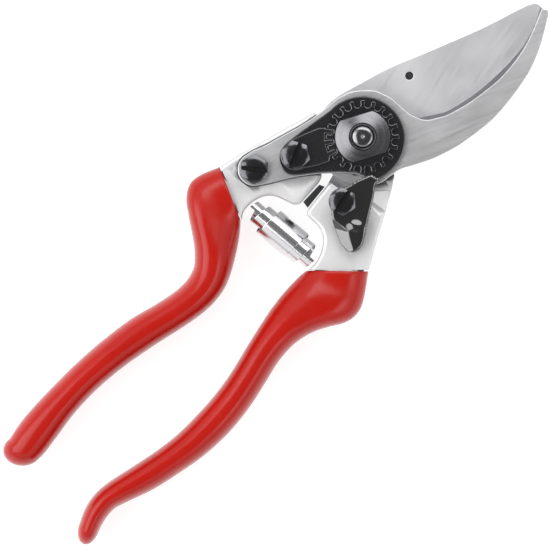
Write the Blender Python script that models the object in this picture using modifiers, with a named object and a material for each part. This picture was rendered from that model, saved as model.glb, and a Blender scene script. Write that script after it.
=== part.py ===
"""Bypass pruning shears, closed and latched, lying flat on their back.

The shears lie with their long axis on Y and the tip of the blades at +Y. The
origin is on the pivot's axis, on the back face of the centre bolt's head, and
+Z is the side that carries the adjusting nut and the thumb catch. Outlines are
written in millimetres and turned to metres by mm(); all else is in metres.
"""

import math

import bmesh
import bpy
from mathutils import Matrix, Vector

MM = 0.001
GAP = 0.0003  # clearance left between pieces that touch
WELD = 0.000001  # corners this near are one
PAST = 0.001  # how far a cutter runs past the faces that it opens

# Overall reach of the shears from the pivot, to the hook's tip and to the end of the handles.
CUT_REACH = 0.06625
GRIP_REACH = 0.1461

# Layers stacked on the pivot, from the back of the bolt's head towards the viewer.
BOLT_HEAD_T = 0.0020
WASHER_T = 0.0006
HEAD_T = 0.0047
BLADE_T = 0.0033
HOOK_T = 0.0044
LATCH_T = 0.0015
RIM_T = 0.0022
BOSS_T = 0.0020
LIP_T = 0.0002
BOLT_END = 0.0008
SEGMENT_T = 0.0020

WASHER_Z = BOLT_HEAD_T + GAP
HEAD_Z = WASHER_Z + WASHER_T + GAP
HEAD_TOP = HEAD_Z + HEAD_T
BLADE_Z = HEAD_TOP + GAP
BLADE_TOP = BLADE_Z + BLADE_T
HOOK_Z = BLADE_TOP + GAP
HOOK_TOP = HOOK_Z + HOOK_T
LATCH_Z = HOOK_TOP + GAP
LATCH_TOP = LATCH_Z + LATCH_T
NUT_Z = LATCH_TOP + GAP
RIM_TOP = NUT_Z + RIM_T
BOSS_TOP = RIM_TOP + BOSS_T
SEGMENT_TOP = NUT_Z + SEGMENT_T

# Pivot.
PIVOT = Vector((0, 0, 0))
BOLT_R = 0.0040
THREAD_R = 0.0033
BOLT_HEAD_R = 0.0080
BOLT_HEAD_CHAMFER = 0.0004
DIMPLE_R = 0.0009
DIMPLE_DEPTH = 0.0004
DOME_DROP = 0.0007
WASHER_R = 0.0072
BUSH_WALL = 0.0011
BUSH_R = BOLT_R + GAP + BUSH_WALL
EYE_R = 0.0144
LATCH_R = 0.0129
LATCH_CENTRE = (0.0004, -0.0006)
SHOULDER_GAP = 0.0004
FLUSH = 0.0001  # how far the bush and the rivets stay inside the head's back face
RIVET_R = 0.0016
RIVET_CIRCLE_R = 0.0100
RIVET_ANGLES = (125, 305)

# Toothed nut, and the segment whose fingers stand in three of its slots.
NUT_R = 0.0110
NUT_SLOTS = 20
SEGMENT_CLEARANCE = 0.0004
SLOT_R = 0.0010
SLOT_DEPTH = 0.0022
SLOT_CENTRE_R = NUT_R - SLOT_DEPTH + SLOT_R
BOSS_R = NUT_R - 0.0029
BOSS_FLATS = 2 * BOSS_R - 0.0032
BOSS_FLAT_ANGLE = 152
LIP_R = 0.0044
FINGER_ANGLES = (216, 234, 252)
SEGMENT_END_R = 0.0045

# Slotted screws with their nuts let into the back of the handles.
SCREW_R = 0.0020
SCREW_HEAD_T = 0.0030
SCREW_HEAD_FLATS = 0.0080
CATCH_HEAD_FLATS = 0.0075
SLOT_W = 0.0012
SLOT_T = 0.0013
NUT_FLATS = 0.0070
NUT_T = 0.0030
NUT_RECESS = 0.0003
CATCH_WASHER_R = 0.0042
SCREW_END = HEAD_Z + NUT_RECESS + 0.0005
NUT_TOP = HEAD_Z + NUT_RECESS + NUT_T
UPPER_SCREW = Vector((-0.0103, -0.0182, 0))
LOWER_SCREW = Vector((-0.0161, -0.0299, 0))
CATCH_PIVOT = Vector((0.0095, -0.0180, 0))

# Handles: aluminium forgings with a core inside each vinyl grip.
LEFT_TOP = HOOK_TOP - 0.0020
RIGHT_TOP = HOOK_TOP - 0.0006
GROOVE_R = 0.0168
GRIP_WALL = 0.0010
GRIP_TOP = RIGHT_TOP + 0.0034
MOUTH_LOW = HEAD_Z - 0.0015
LEFT_MOUTH_TOP = LEFT_TOP + 0.0021
RIGHT_MOUTH_TOP = RIGHT_TOP + 0.0020
GRIP_END_TAPER = 0.0010
LEAD_LOW = HEAD_Z + 0.0010
LEAD_DROP = 0.0004
CATCH_T = 0.0030
CATCH_Z = RIGHT_TOP + GAP + WASHER_T + GAP
CATCH_TOP = CATCH_Z + CATCH_T

# Double volute spring on a peg of each handle, and the rubber stop.
SPRING_R = 0.0052
SPRING_STEP = 0.00115
SPRING_TURNS = 2.0
SPRING_PITCH = 0.0036
SPRING_STRIP_W = 0.0110
SPRING_STRIP_T = 0.00045
SPRING_Z = (HEAD_Z + LEFT_TOP) / 2
SPRING_CENTRE = Vector((0.0035, -0.0376, SPRING_Z))
SPRING_TILT = 5
PEG_R = 0.0015
PEG_REACH = 0.0030
PEG_ROOT = 0.0025
STOP_LOW = HEAD_Z + 0.0023
STOP_HIGH = LEFT_TOP - 0.0012
STEM_R = 0.0013
STEM_ROOT = Vector((0.0028, -0.0228, (STOP_LOW + STOP_HIGH) / 2))
STEM_LENGTH = 0.0045

ROUND_SIDES = 40


def mm(*points):
    """The given points, written in millimetres, as metres."""
    return [tuple(value * MM for value in point) for point in points]


def smooth(points, steps=3):
    """Points on a curve that runs smoothly through the given ones, both ends kept."""
    ends = [points[0], *points, points[-1]]
    curve = []
    for a, b, c, d in zip(ends, ends[1:], ends[2:], ends[3:]):
        for step in range(steps):
            t = step / steps
            curve.append(tuple(
                0.5 * (2 * q + (r - p) * t + (2 * p - 5 * q + 4 * r - s) * t ** 2
                       + (3 * q - p - 3 * r + s) * t ** 3)
                for p, q, r, s in zip(a, b, c, d)))
    curve.append(tuple(points[-1]))
    return curve


def polar(radius, degrees, centre=(0, 0)):
    """The point at a radius and an angle from a centre."""
    angle = math.radians(degrees)
    return (centre[0] + radius * math.cos(angle), centre[1] + radius * math.sin(angle))


def arc(radius, start, end, steps, centre=(0, 0)):
    """Points along an arc between two angles in degrees, both ends included."""
    return [polar(radius, start + (end - start) * n / steps, centre) for n in range(steps + 1)]


def circle(radius, centre=(0, 0), sides=ROUND_SIDES):
    """A closed round outline."""
    return [polar(radius, 360 * n / sides, centre) for n in range(sides)]


def hexagon(across_flats, centre=(0, 0), turn=0):
    """A closed hexagon outline, with a corner at the angle turn."""
    return [polar(across_flats / math.sqrt(3), turn + 60 * n, centre) for n in range(6)]


def grown(outline, distance):
    """An anticlockwise outline with each edge moved outwards by a distance."""
    moved = []
    count = len(outline)
    for n in range(count):
        here = Vector(outline[n])
        back = (here - Vector(outline[n - 1])).normalized()
        ahead = (Vector(outline[(n + 1) % count]) - here).normalized()
        side = Vector((back.y + ahead.y, -back.x - ahead.x)).normalized()
        reach = distance / max(0.5, side.dot(Vector((ahead.y, -ahead.x))))
        moved.append(tuple(here + side * reach))
    return moved


def stretched(points, start, drawn_end, end):
    """Plan points, with those past a line on Y spread so that the drawn end lies at the end."""
    factor = (end - start) / (drawn_end - start)
    out = []
    for point in points:
        moved = list(point)
        for n in range(1, len(point), 2):
            if (point[n] - start) * (drawn_end - start) > 0:
                moved[n] = start + (point[n] - start) * factor
        out.append(tuple(moved))
    return out


def reach_cut(points):
    """Blade points, stretched above the eye so that the hook's tip lies at CUT_REACH."""
    return stretched(points, EYE_TOP_Y, HOOK_TIP[1][1], CUT_REACH)


def reach_grip(points):
    """Grip points, stretched below the shoulders so that the longer grip ends at GRIP_REACH."""
    return stretched(points, SHOULDER_Y, RIGHT_GRIP_TIP[1], -GRIP_REACH)


def finish(name, colour, metallic, roughness):
    """A Principled material, made once for each name."""
    if name in bpy.data.materials:
        return bpy.data.materials[name]
    material = bpy.data.materials.new(name)
    material.use_nodes = True
    shader = material.node_tree.nodes["Principled BSDF"]
    shader.inputs["Base Color"].default_value = (*colour, 1)
    shader.inputs["Metallic"].default_value = metallic
    shader.inputs["Roughness"].default_value = roughness
    material.diffuse_color = (*colour, 1)
    return material


def add_object(name, mesh, location=(0, 0, 0)):
    """A mesh as a new object of the shears."""
    obj = bpy.data.objects.new(name, mesh)
    obj.location = location
    shears.objects.link(obj)
    return obj


def as_cutter(obj):
    """An object moved to the cutters' collection and hidden from renders."""
    shears.objects.unlink(obj)
    cutters.objects.link(obj)
    obj.hide_render = True
    obj.display_type = "WIRE"
    return obj


def boolean(target, tool, operation):
    """Cut a tool from a target, or join it on; the tool becomes a cutter."""
    modifier = target.modifiers.new(tool.name, "BOOLEAN")
    modifier.operation = operation
    modifier.solver = "EXACT"
    modifier.object = as_cutter(tool)


def from_bmesh(name, bm, location=(0, 0, 0)):
    """A bmesh as an object, with its faces turned outwards."""
    bmesh.ops.recalc_face_normals(bm, faces=bm.faces)
    mesh = bpy.data.meshes.new(name)
    bm.to_mesh(mesh)
    bm.free()
    return add_object(name, mesh, location)


def plate(name, outline, low, high, holes=(), location=(0, 0, 0)):
    """A flat piece: a filled 2D curve with its holes, extruded between two heights."""
    curve = bpy.data.curves.new(name + "_outline", "CURVE")
    curve.dimensions = "2D"
    curve.fill_mode = "BOTH"
    curve.extrude = (high - low) / 2
    for loop in (outline, *holes):
        spline = curve.splines.new("POLY")
        spline.points.add(len(loop) - 1)
        for point, (x, y) in zip(spline.points, loop):
            point.co = (x - location[0], y - location[1], 0, 1)
        spline.use_cyclic_u = True
    flat = add_object(name + "_outline", curve)
    bpy.context.view_layer.update()
    drawn = flat.evaluated_get(bpy.context.evaluated_depsgraph_get())
    mesh = bpy.data.meshes.new_from_object(drawn)
    bpy.data.objects.remove(flat)
    bm = bmesh.new()
    bm.from_mesh(mesh)
    bpy.data.meshes.remove(mesh)
    bmesh.ops.remove_doubles(bm, verts=bm.verts, dist=WELD)
    bmesh.ops.translate(bm, verts=bm.verts, vec=(0, 0, (low + high) / 2 - location[2]))
    return from_bmesh(name, bm, location)


def stacked(name, rings, location=(0, 0, 0)):
    """A closed solid through rings of equal point counts, with flat ends."""
    bm = bmesh.new()
    loops = [[bm.verts.new(point) for point in ring] for ring in rings]
    for lower, upper in zip(loops, loops[1:]):
        for n in range(len(lower)):
            after = (n + 1) % len(lower)
            bm.faces.new((lower[n], lower[after], upper[after], upper[n]))
    bm.faces.new(loops[0])
    bm.faces.new(loops[-1])
    bmesh.ops.triangulate(bm, faces=[f for f in bm.faces if len(f.verts) > 4])
    return from_bmesh(name, bm, location)


def ground_plate(name, stations, low, high):
    """A plate whose edge is ground: a station is (x, y), or (x, y) below then (x, y) above."""
    below = [(*station[:2], low) for station in stations]
    above = [(*station[-2:], high) for station in stations]
    return stacked(name, (below, above))


def turned(name, profile, location=(0, 0, 0)):
    """A turned piece: (radius, height) points from the top of the axis down its outer side."""
    mesh = bpy.data.meshes.new(name)
    edges = [(n, n + 1) for n in range(len(profile) - 1)]
    mesh.from_pydata([(radius, 0, height) for radius, height in profile], edges, [])
    obj = add_object(name, mesh, location)
    screw = obj.modifiers.new("turn", "SCREW")
    screw.axis = "Z"
    screw.steps = ROUND_SIDES
    screw.render_steps = ROUND_SIDES
    screw.use_merge_vertices = True
    screw.merge_threshold = 0.00001
    return obj


def cylinder(name, radius, start, end, sides=ROUND_SIDES):
    """A round bar between two points."""
    start, end = Vector(start), Vector(end)
    bm = bmesh.new()
    bmesh.ops.create_cone(bm, cap_ends=True, segments=sides, radius1=radius, radius2=radius,
                          depth=(end - start).length)
    turn = (end - start).to_track_quat("Z", "Y").to_matrix().to_4x4()
    bmesh.ops.transform(bm, matrix=Matrix.Translation((start + end) / 2) @ turn, verts=bm.verts)
    return from_bmesh(name, bm)


def above(point, height):
    """A point of the plan, lifted to a height."""
    return Vector((point[0], point[1], height))


def slotted_screw(name, place, seat, end, across_flats, corner, slot_angle):
    """A hexagon-headed screw with a driver slot; its head stands on the height seat."""
    top = seat + SCREW_HEAD_T
    chamfer = SCREW_HEAD_T / 5
    levels = ((across_flats, seat), (across_flats, top - chamfer), (across_flats * 0.86, top))
    rings = [[above(p, z) for p in hexagon(flats, turn=corner)] for flats, z in levels]
    screw = stacked(name, rings, place)
    shank = cylinder(name + "_shank", SCREW_R, above(place, end), above(place, top - SLOT_T * 1.2), 24)
    boolean(screw, shank, "UNION")
    bm = bmesh.new()
    bmesh.ops.create_cube(bm, size=1)
    bmesh.ops.scale(bm, vec=(across_flats * 1.4, SLOT_W, SLOT_T * 2), verts=bm.verts)
    slot = from_bmesh(name + "_slot", bm, above(place, top))
    slot.rotation_euler.z = math.radians(slot_angle)
    boolean(screw, slot, "DIFFERENCE")
    return screw


def hex_nut(name, place):
    """A plain nut let into the back of a handle."""
    low = NUT_TOP - NUT_T
    return plate(name, hexagon(NUT_FLATS, place), low, NUT_TOP,
                 [circle(SCREW_R + GAP, place, 24)], above(place, low))


def nut_recess(handle, place):
    """Room for a nut in the back of a handle."""
    radius = NUT_FLATS / math.sqrt(3) + GAP
    tool = cylinder(handle.name + "_recess", radius, above(place, HEAD_Z - PAST),
                    above(place, NUT_TOP + GAP), 28)
    boolean(handle, tool, "DIFFERENCE")


def grip_ribs(pairs, mouth_top, lead, lead_top):
    """Ribs of a grip from its mouth to its rounded end, with one lead rib inside the handle."""
    ribs = []
    drawn = reach_grip(pairs)
    last = len(drawn) - 1
    for n, pair in enumerate(drawn):
        rise = min(1, n / 5)
        rise = rise * rise * (3 - 2 * rise)
        fall = max(0, (n - last + 4) / 4)
        taper = GRIP_END_TAPER * fall ** 2
        low = MOUTH_LOW * (1 - rise) + taper
        high = mouth_top + (GRIP_TOP - mouth_top) * rise - taper
        ribs.append((*pair, low, high))
    return [(*lead, LEAD_LOW, lead_top), *ribs]


def inset(ribs, distance):
    """The same ribs, with the surface that they carry moved inwards by a distance."""
    smaller = []
    last = len(ribs) - 1
    for n, rib in enumerate(ribs):
        before, after = ribs[max(0, n - 1)], ribs[min(last, n + 1)]
        moved = []
        for here, there in ((0, 2), (2, 0)):
            run = Vector(after[here:here + 2]) - Vector(before[here:here + 2])
            inwards = Vector((run.y, -run.x)).normalized()
            if inwards.dot(Vector(rib[there:there + 2]) - Vector(rib[here:here + 2])) < 0:
                inwards.negate()
            moved.extend(Vector(rib[here:here + 2]) + inwards * distance)
        smaller.append((*moved, rib[4] + distance, rib[5] - distance))
    return smaller


def rounded_end(ribs, tip):
    """Ribs that close a grip in a dome from its last rib to its tip."""
    x0, y0, x1, y1, low, high = ribs[-1]
    end = []
    for degrees in (30, 55, 75):
        size = math.cos(math.radians(degrees))
        travel = math.sin(math.radians(degrees))
        middle = Vector(((x0 + x1) / 2, (y0 + y1) / 2)).lerp(Vector(tip), travel)
        half = Vector((x1 - x0, y1 - y0)) / 2 * size
        centre = (low + high) / 2
        tall = (high - low) / 2 * size
        end.append((*(middle - half), *(middle + half), centre - tall, centre + tall))
    return end


def ribbed(name, ribs, sides=16, squareness=2.6):
    """A handle-like solid through ribs, each a rounded box between two points of the plan."""
    rings = []
    for x0, y0, x1, y1, low, high in ribs:
        ring = []
        for n in range(sides):
            angle = 2 * math.pi * n / sides
            across, rise = math.cos(angle), math.sin(angle)
            across = math.copysign(abs(across) ** (2 / squareness), across)
            rise = math.copysign(abs(rise) ** (2 / squareness), rise)
            ring.append(((x0 + x1) / 2 + (x1 - x0) / 2 * across,
                         (y0 + y1) / 2 + (y1 - y0) / 2 * across,
                         (low + high) / 2 + (high - low) / 2 * rise))
        rings.append(ring)
    return stacked(name, rings)


# Plan outlines, anticlockwise.
# Above the first line the blades stretch with CUT_REACH, below the second the grips do.
EYE_TOP_Y = 0.0166
SHOULDER_Y = -0.0600

LEFT_GRIP_PAIRS = mm(
    (-24.1, -36.9, -7.8, -44.0), (-26.4, -42.4, -5.9, -46.2), (-26.8, -46.6, -4.1, -48.6),
    (-24.4, -50.6, -2.4, -51.1), (-20.2, -53.8, -0.8, -53.7), (-16.0, -56.6, 0.6, -56.2),
    (-12.4, -59.2, 1.8, -58.6), (-9.8, -61.6, 2.8, -61.2), (-8.0, -64.0, 3.4, -64.0),
    (-6.9, -68.0, 3.7, -68.0), (-7.1, -73.0, 3.3, -73.0), (-8.4, -79.5, 2.1, -79.5),
    (-10.6, -88.0, 0.2, -88.0), (-12.1, -99.0, -1.8, -99.0), (-12.8, -110.0, -2.8, -110.0),
    (-12.8, -120.0, -2.5, -120.0), (-12.5, -129.0, -1.2, -129.0), (-11.8, -135.0, -0.4, -135.0),
    (-10.9, -139.0, -0.4, -138.6))
LEFT_GRIP_TIP = (-0.0066, -0.1443)
LEFT_LEAD = mm((-22.0, -31.0, -12.6, -36.0))[0]

RIGHT_GRIP_PAIRS = mm(
    (30.0, -27.5, 16.4, -40.7), (33.6, -32.4, 16.2, -43.2), (36.0, -36.6, 16.2, -46.0),
    (36.5, -40.4, 16.3, -48.8), (35.4, -44.0, 16.5, -51.6), (33.2, -47.6, 16.9, -54.6),
    (31.2, -51.6, 17.4, -57.6), (29.9, -56.0, 18.1, -61.0), (29.5, -60.6, 18.9, -64.6),
    (30.0, -66.0, 19.9, -69.0), (31.4, -72.0, 21.2, -74.0), (33.1, -79.5, 22.6, -80.5),
    (34.2, -87.0, 23.5, -87.0), (34.5, -94.0, 23.9, -94.0), (34.0, -102.0, 23.9, -102.0),
    (32.6, -110.0, 23.0, -110.0), (30.6, -119.0, 21.2, -119.0), (27.8, -127.0, 19.4, -127.4),
    (26.3, -132.0, 19.0, -133.0), (26.8, -137.0, 20.0, -138.0), (28.2, -141.0, 21.9, -142.2))
RIGHT_GRIP_TIP = (0.0268, -0.1461)
RIGHT_LEAD = mm((25.4, -22.8, 20.6, -33.6))[0]

LEFT_NECK = [
    *smooth(mm((-15.6, -5.0), (-16.7, -9.0), (-18.5, -15.0), (-20.5, -22.5), (-22.5, -29.5),
               (-23.9, -36.4)), 2),
    *smooth(mm((-8.0, -43.4), (-9.4, -41.2), (-9.7, -38.5), (-9.3, -36.0), (-8.4, -33.7),
               (-7.0, -31.9), (-5.0, -30.7), (-2.5, -29.8), (-0.5, -29.1), (0.5, -28.3),
               (0.9, -27.2)), 3),
    *mm((0.5, -20.0), (0.35, -18.6), (-0.2, -17.2), (-1.2, -16.3)),
    *arc(EYE_R + 2 * GAP, 263, 199.5, 12)]

RIGHT_NECK = [
    *arc(EYE_R, -4, 277, 44),
    *mm((2.8, -18.0), (3.8, -26.9), (4.3, -28.0), (5.2, -28.5)),
    *smooth(mm((8.5, -28.3), (10.7, -28.6), (13.0, -29.8), (15.0, -32.0), (16.2, -34.5),
               (16.8, -37.0), (16.7, -39.8)), 3),
    *smooth(mm((29.6, -26.9), (27.5, -23.0), (25.0, -18.7), (22.5, -14.0), (20.0, -9.5),
               (17.5, -5.2), (15.0, -1.4)), 2)]

# What is cut away above the blade, so that the hook can swing: the rest of the groove's arc.
SHOULDER_EDGE = mm((16.6, -12.0), (20.4, -11.0), (26.0, -9.0), (26.0, 8.0), (-6.0, 8.0))

TANG_LEFT = mm((-13.8, 0.0), (-14.0, -2.5), (-14.8, -7.5), (-16.0, -12.5), (-17.5, -17.5),
               (-18.9, -22.5), (-20.3, -26.0))
TANG_RIGHT = mm((-12.2, -33.0), (-10.0, -29.8), (-7.5, -25.5), (-5.0, -21.7), (-1.5, -17.2),
                (2.5, -12.9), (6.5, -9.3))
TANG_END_R = 0.0050
TANG_END = arc(TANG_END_R, 170, 320, 16, LOWER_SCREW)

# The hook's inner edge, as the line on the blade's side and the line on the viewer's side.
HOOK_EDGE = mm(
    (8.0, 16.3, 8.6, 16.1), (8.9, 17.5, 10.3, 17.5), (10.5, 20.0, 11.9, 20.0),
    (12.1, 22.5, 13.3, 22.5), (13.0, 25.0, 14.1, 25.0), (14.2, 30.0, 15.4, 30.0),
    (15.0, 35.0, 16.2, 35.0), (15.4, 41.0, 16.8, 41.0), (15.4, 47.5, 16.5, 47.0),
    (14.8, 53.5, 15.5, 53.0), (13.6, 58.0, 14.1, 57.5), (12.1, 61.7, 12.6, 61.2),
    (10.2, 65.4, 10.9, 65.1))
HOOK_TIP = mm((11.2, 65.7), (12.2, 66.25), (13.2, 65.8))
HOOK_BACK = mm(
    (14.2, 64.3), (16.2, 61.0), (18.7, 56.5), (21.0, 51.0), (22.2, 46.5), (23.3, 40.0),
    (23.9, 33.0), (23.6, 27.5), (22.5, 20.0), (21.2, 15.0), (19.4, 10.0), (16.9, 5.0),
    (15.0, 1.5), (14.3, -2.0), (13.9, -5.0), (13.0, -7.2))
HOOK_EYE = mm((-13.4, 3.5), (-12.2, 6.7), (-10.5, 9.2), (-7.5, 12.2), (-5.0, 13.4), (-2.5, 14.2),
              (0.0, 14.5), (2.5, 14.6), (5.0, 14.8), (6.5, 15.3))

BLADE_BACK = mm((7.3, 63.5), (6.3, 61.0), (3.0, 50.5), (0.0, 42.5), (-5.0, 30.0), (-9.1, 20.0),
                (-12.1, 10.0), (-13.6, 5.0), (-14.4, 0.0))
BLADE_TIP = mm((10.4, 65.8), (8.9, 65.6), (8.1, 65.0))
# The cutting edge, as the bevel's inner line on the back and the edge itself on the front.
BLADE_EDGE = mm(
    (13.2, 7.0, 13.4, 7.0), (13.4, 12.5, 14.4, 12.0), (12.8, 18.0, 15.2, 17.0),
    (12.8, 23.0, 16.3, 22.0), (13.7, 28.8, 17.5, 28.0), (14.5, 35.3, 18.5, 35.0),
    (14.7, 42.0, 18.7, 42.0), (14.1, 48.8, 17.9, 49.5), (12.7, 55.3, 16.0, 56.5),
    (11.0, 60.6, 13.4, 62.3))
SAP_HOLE = (-0.0031, 0.0230)
SAP_HOLE_R = 0.00135

STOP_OUTLINE = mm((0.95, -19.3), (1.2, -26.4), (3.4, -26.7), (2.55, -18.6))

# The segment's two flanks, the latch plate's arm and the edge that runs back to its eye.
SEGMENT_RIGHT = mm((-1.9, -12.3), (-3.3, -15.4), (-5.0, -18.0))
SEGMENT_LEFT = mm((-14.0, -14.6), (-13.0, -11.8), (-12.0, -9.4), (-11.1, -7.4))
LATCH_ARM = mm((-12.9, -4.0), (-13.9, -10.0), (-14.6, -15.0), (-14.8, -18.5), (-14.2, -21.2),
               (-12.6, -23.0), (-10.4, -23.9), (-8.4, -23.9), (-6.8, -23.1), (-5.0, -21.2),
               (-3.2, -18.9), (-1.4, -16.6))
LATCH_RETURN = mm((2.4, -12.3), (6.3, -8.9), (9.2, -7.7))

# The nose runs round the nut: how far outside it, and the angle. Then the rest, clockwise.
NOSE_STATIONS = ((0, 328), (0.0012, 333), (0.0022, 336.5))
CATCH_OUTLINE = [
    *mm((12.9, -7.6), (15.0, -10.2), (17.5, -14.4), (20.0, -18.2), (22.4, -22.0), (23.1, -24.2),
        (22.7, -26.2), (21.6, -27.3), (20.0, -27.5), (18.0, -27.2), (15.0, -26.0), (12.4, -24.8),
        (9.8, -23.1), (7.4, -21.0), (6.0, -19.3), (5.6, -17.8), (6.1, -16.0), (7.0, -14.4),
        (7.7, -12.4), (8.2, -10.2))]


def make_cutting_blade():
    """Bevelled blade with its eye on the right handle's head."""
    stations = [
        *reach_cut(smooth(BLADE_EDGE, 3)),
        *reach_cut(BLADE_TIP),
        *reach_cut(smooth(BLADE_BACK, 3)),
        *arc(EYE_R, 186, 382, 30)]
    blade = ground_plate("cutting_blade", stations, BLADE_Z, BLADE_TOP)
    low, high = BLADE_Z - PAST, BLADE_TOP + PAST
    hole = reach_cut([SAP_HOLE])[0]
    bore = cylinder("blade_bore", BUSH_R + GAP, above(PIVOT, low), above(PIVOT, high))
    boolean(blade, bore, "DIFFERENCE")
    sap = cylinder("sap_bore", SAP_HOLE_R, above(hole, low), above(hole, high), 24)
    boolean(blade, sap, "DIFFERENCE")
    for n, angle in enumerate(RIVET_ANGLES):
        spot = polar(RIVET_CIRCLE_R, angle)
        tool = cylinder(f"blade_rivet_bore_{n}", RIVET_R + GAP, above(spot, low), above(spot, high), 20)
        boolean(blade, tool, "DIFFERENCE")
    return blade


def hook_outline():
    """Stations of the hook, its eye and its tang, anticlockwise from the tang's left."""
    return [
        *smooth(TANG_LEFT, 2),
        *TANG_END,
        *smooth(TANG_RIGHT, 2),
        *reach_cut(reversed(smooth(HOOK_BACK, 3))),
        *reach_cut(reversed(HOOK_TIP)),
        *reach_cut(reversed(smooth(HOOK_EDGE, 3))),
        *reversed(smooth(HOOK_EYE, 2))]


def make_hook_blade():
    """Hooked counter blade, held to the left handle by two screws through its tang."""
    hook = ground_plate("hook_blade", hook_outline(), HOOK_Z, HOOK_TOP)
    spots = ((PIVOT, BOLT_R), (UPPER_SCREW, SCREW_R), (LOWER_SCREW, SCREW_R))
    for n, (spot, radius) in enumerate(spots):
        tool = cylinder(f"hook_bore_{n}", radius + GAP, above(spot, HOOK_Z - PAST),
                        above(spot, HOOK_TOP + PAST))
        boolean(hook, tool, "DIFFERENCE")
    return hook


def make_handle_left():
    """Left forging: neck under the hook's tang, spring peg, and the core of its grip."""
    bores = [circle(SCREW_R + GAP, spot, 24) for spot in (UPPER_SCREW, LOWER_SCREW)]
    handle = plate("handle_left", LEFT_NECK, HEAD_Z, LEFT_TOP, bores)
    core = ribbed("left_core", inset(left_ribs(), GRIP_WALL + GAP))
    boolean(handle, core, "UNION")
    tang = [*smooth(TANG_LEFT, 2), *TANG_END, *smooth(TANG_RIGHT, 2)]
    pocket = plate("tang_pocket", grown(tang, GAP), HOOK_Z - GAP, GRIP_TOP)
    boolean(handle, pocket, "DIFFERENCE")
    nut_recess(handle, UPPER_SCREW)
    nut_recess(handle, LOWER_SCREW)
    boolean(handle, spring_peg("left_peg", -1), "UNION")
    return handle


def make_handle_right():
    """Right forging: head under the blade's eye, raised bed for the catch, core of its grip."""
    handle = plate("handle_right", RIGHT_NECK, HEAD_Z, RIGHT_TOP,
                   [circle(BUSH_R + GAP), circle(SCREW_R + GAP, CATCH_PIVOT, 24)])
    core = ribbed("right_core", inset(right_ribs(), GRIP_WALL + GAP))
    boolean(handle, core, "UNION")
    seat = cylinder("blade_seat", EYE_R + SHOULDER_GAP, above(PIVOT, HEAD_TOP),
                    above(PIVOT, GRIP_TOP), 64)
    boolean(handle, seat, "DIFFERENCE")
    groove = plate("eye_groove", [(0, 0), *arc(GROOVE_R, 262, 309, 12)], HEAD_TOP, GRIP_TOP)
    boolean(handle, groove, "DIFFERENCE")
    shoulder = [*arc(GROOVE_R, 262, 314, 12), *SHOULDER_EDGE]
    boolean(handle, plate("hook_path", shoulder, BLADE_TOP, GRIP_TOP), "DIFFERENCE")
    nut_recess(handle, CATCH_PIVOT)
    boolean(handle, stop_stem("stem_bore", GAP), "DIFFERENCE")
    for n, angle in enumerate(RIVET_ANGLES):
        spot = polar(RIVET_CIRCLE_R, angle)
        tool = cylinder(f"head_rivet_bore_{n}", RIVET_R + GAP, above(spot, HEAD_Z - PAST),
                        above(spot, HEAD_TOP + PAST), 20)
        boolean(handle, tool, "DIFFERENCE")
    boolean(handle, spring_peg("right_peg", 1), "UNION")
    return handle


def left_ribs():
    """Ribs of the left grip, its lead rib first."""
    return grip_ribs(LEFT_GRIP_PAIRS, LEFT_MOUTH_TOP, LEFT_LEAD, LEFT_TOP - LEAD_DROP)


def right_ribs():
    """Ribs of the right grip, its lead rib first."""
    return grip_ribs(RIGHT_GRIP_PAIRS, RIGHT_MOUTH_TOP, RIGHT_LEAD, RIGHT_TOP - LEAD_DROP)


def make_grip(name, ribs, tip):
    """Dipped vinyl sleeve: a rounded bar with the room for the handle's core taken out."""
    grip = ribbed(name, [*ribs[1:], *rounded_end(ribs, reach_grip([tip])[0])])
    room = inset(ribs, GRIP_WALL)
    x0, y0, x1, y1, low, high = room[-1]
    room.append((x0, y0 - GAP, x1, y1 - GAP, low, high))
    boolean(grip, ribbed(name + "_room", room), "DIFFERENCE")
    return grip


def spring_axis():
    """Unit vector along the spring, from the left handle to the right one."""
    angle = math.radians(SPRING_TILT)
    return Vector((math.cos(angle), math.sin(angle), 0))


def spring_peg(name, side):
    """Peg that stands out of a handle into the end of the spring."""
    half = SPRING_TURNS * SPRING_PITCH + SPRING_STRIP_W / 2
    seat = SPRING_CENTRE + spring_axis() * side * half
    tip = seat - spring_axis() * side * PEG_REACH
    root = seat + spring_axis() * side * PEG_ROOT
    return cylinder(name, PEG_R, root, tip, 20)


def make_return_spring():
    """Double volute: a strip coiled on both sides of its middle, each turn inside the last."""
    steps = 84
    axis = spring_axis()
    up = Vector((0, 0, 1))
    out = up.cross(axis)
    rings = []
    for n in range(steps + 1):
        turns = SPRING_TURNS * (2 * n / steps - 1)
        radius = SPRING_R - SPRING_STEP * abs(turns)
        if turns < 0:
            ease = min(1, -turns / 0.5)
            radius -= 0.5 * SPRING_STEP * ease * ease * (3 - 2 * ease)
        angle = 2 * math.pi * turns
        away = up * math.cos(angle) + out * math.sin(angle)
        middle = SPRING_CENTRE + axis * turns * SPRING_PITCH
        corners = ((-1, -1), (1, -1), (1, 1), (-1, 1))
        rings.append([
            middle + axis * along * SPRING_STRIP_W / 2 + away * (radius + side * SPRING_STRIP_T / 2)
            for along, side in corners])
    return stacked("return_spring", rings)


def stop_stem(name, clearance):
    """Stem of the rubber stop, or with a clearance the bore that it is pushed into."""
    end = STEM_ROOT + Vector((STEM_LENGTH + clearance, 0, 0))
    return cylinder(name, STEM_R + clearance, STEM_ROOT, end, 20)


def make_shock_absorber():
    """Rubber stop between the handles' inner faces, with its stem in the right handle."""
    stop = plate("shock_absorber", STOP_OUTLINE, STOP_LOW, STOP_HIGH)
    boolean(stop, stop_stem("stop_stem", 0), "UNION")
    return stop


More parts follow.
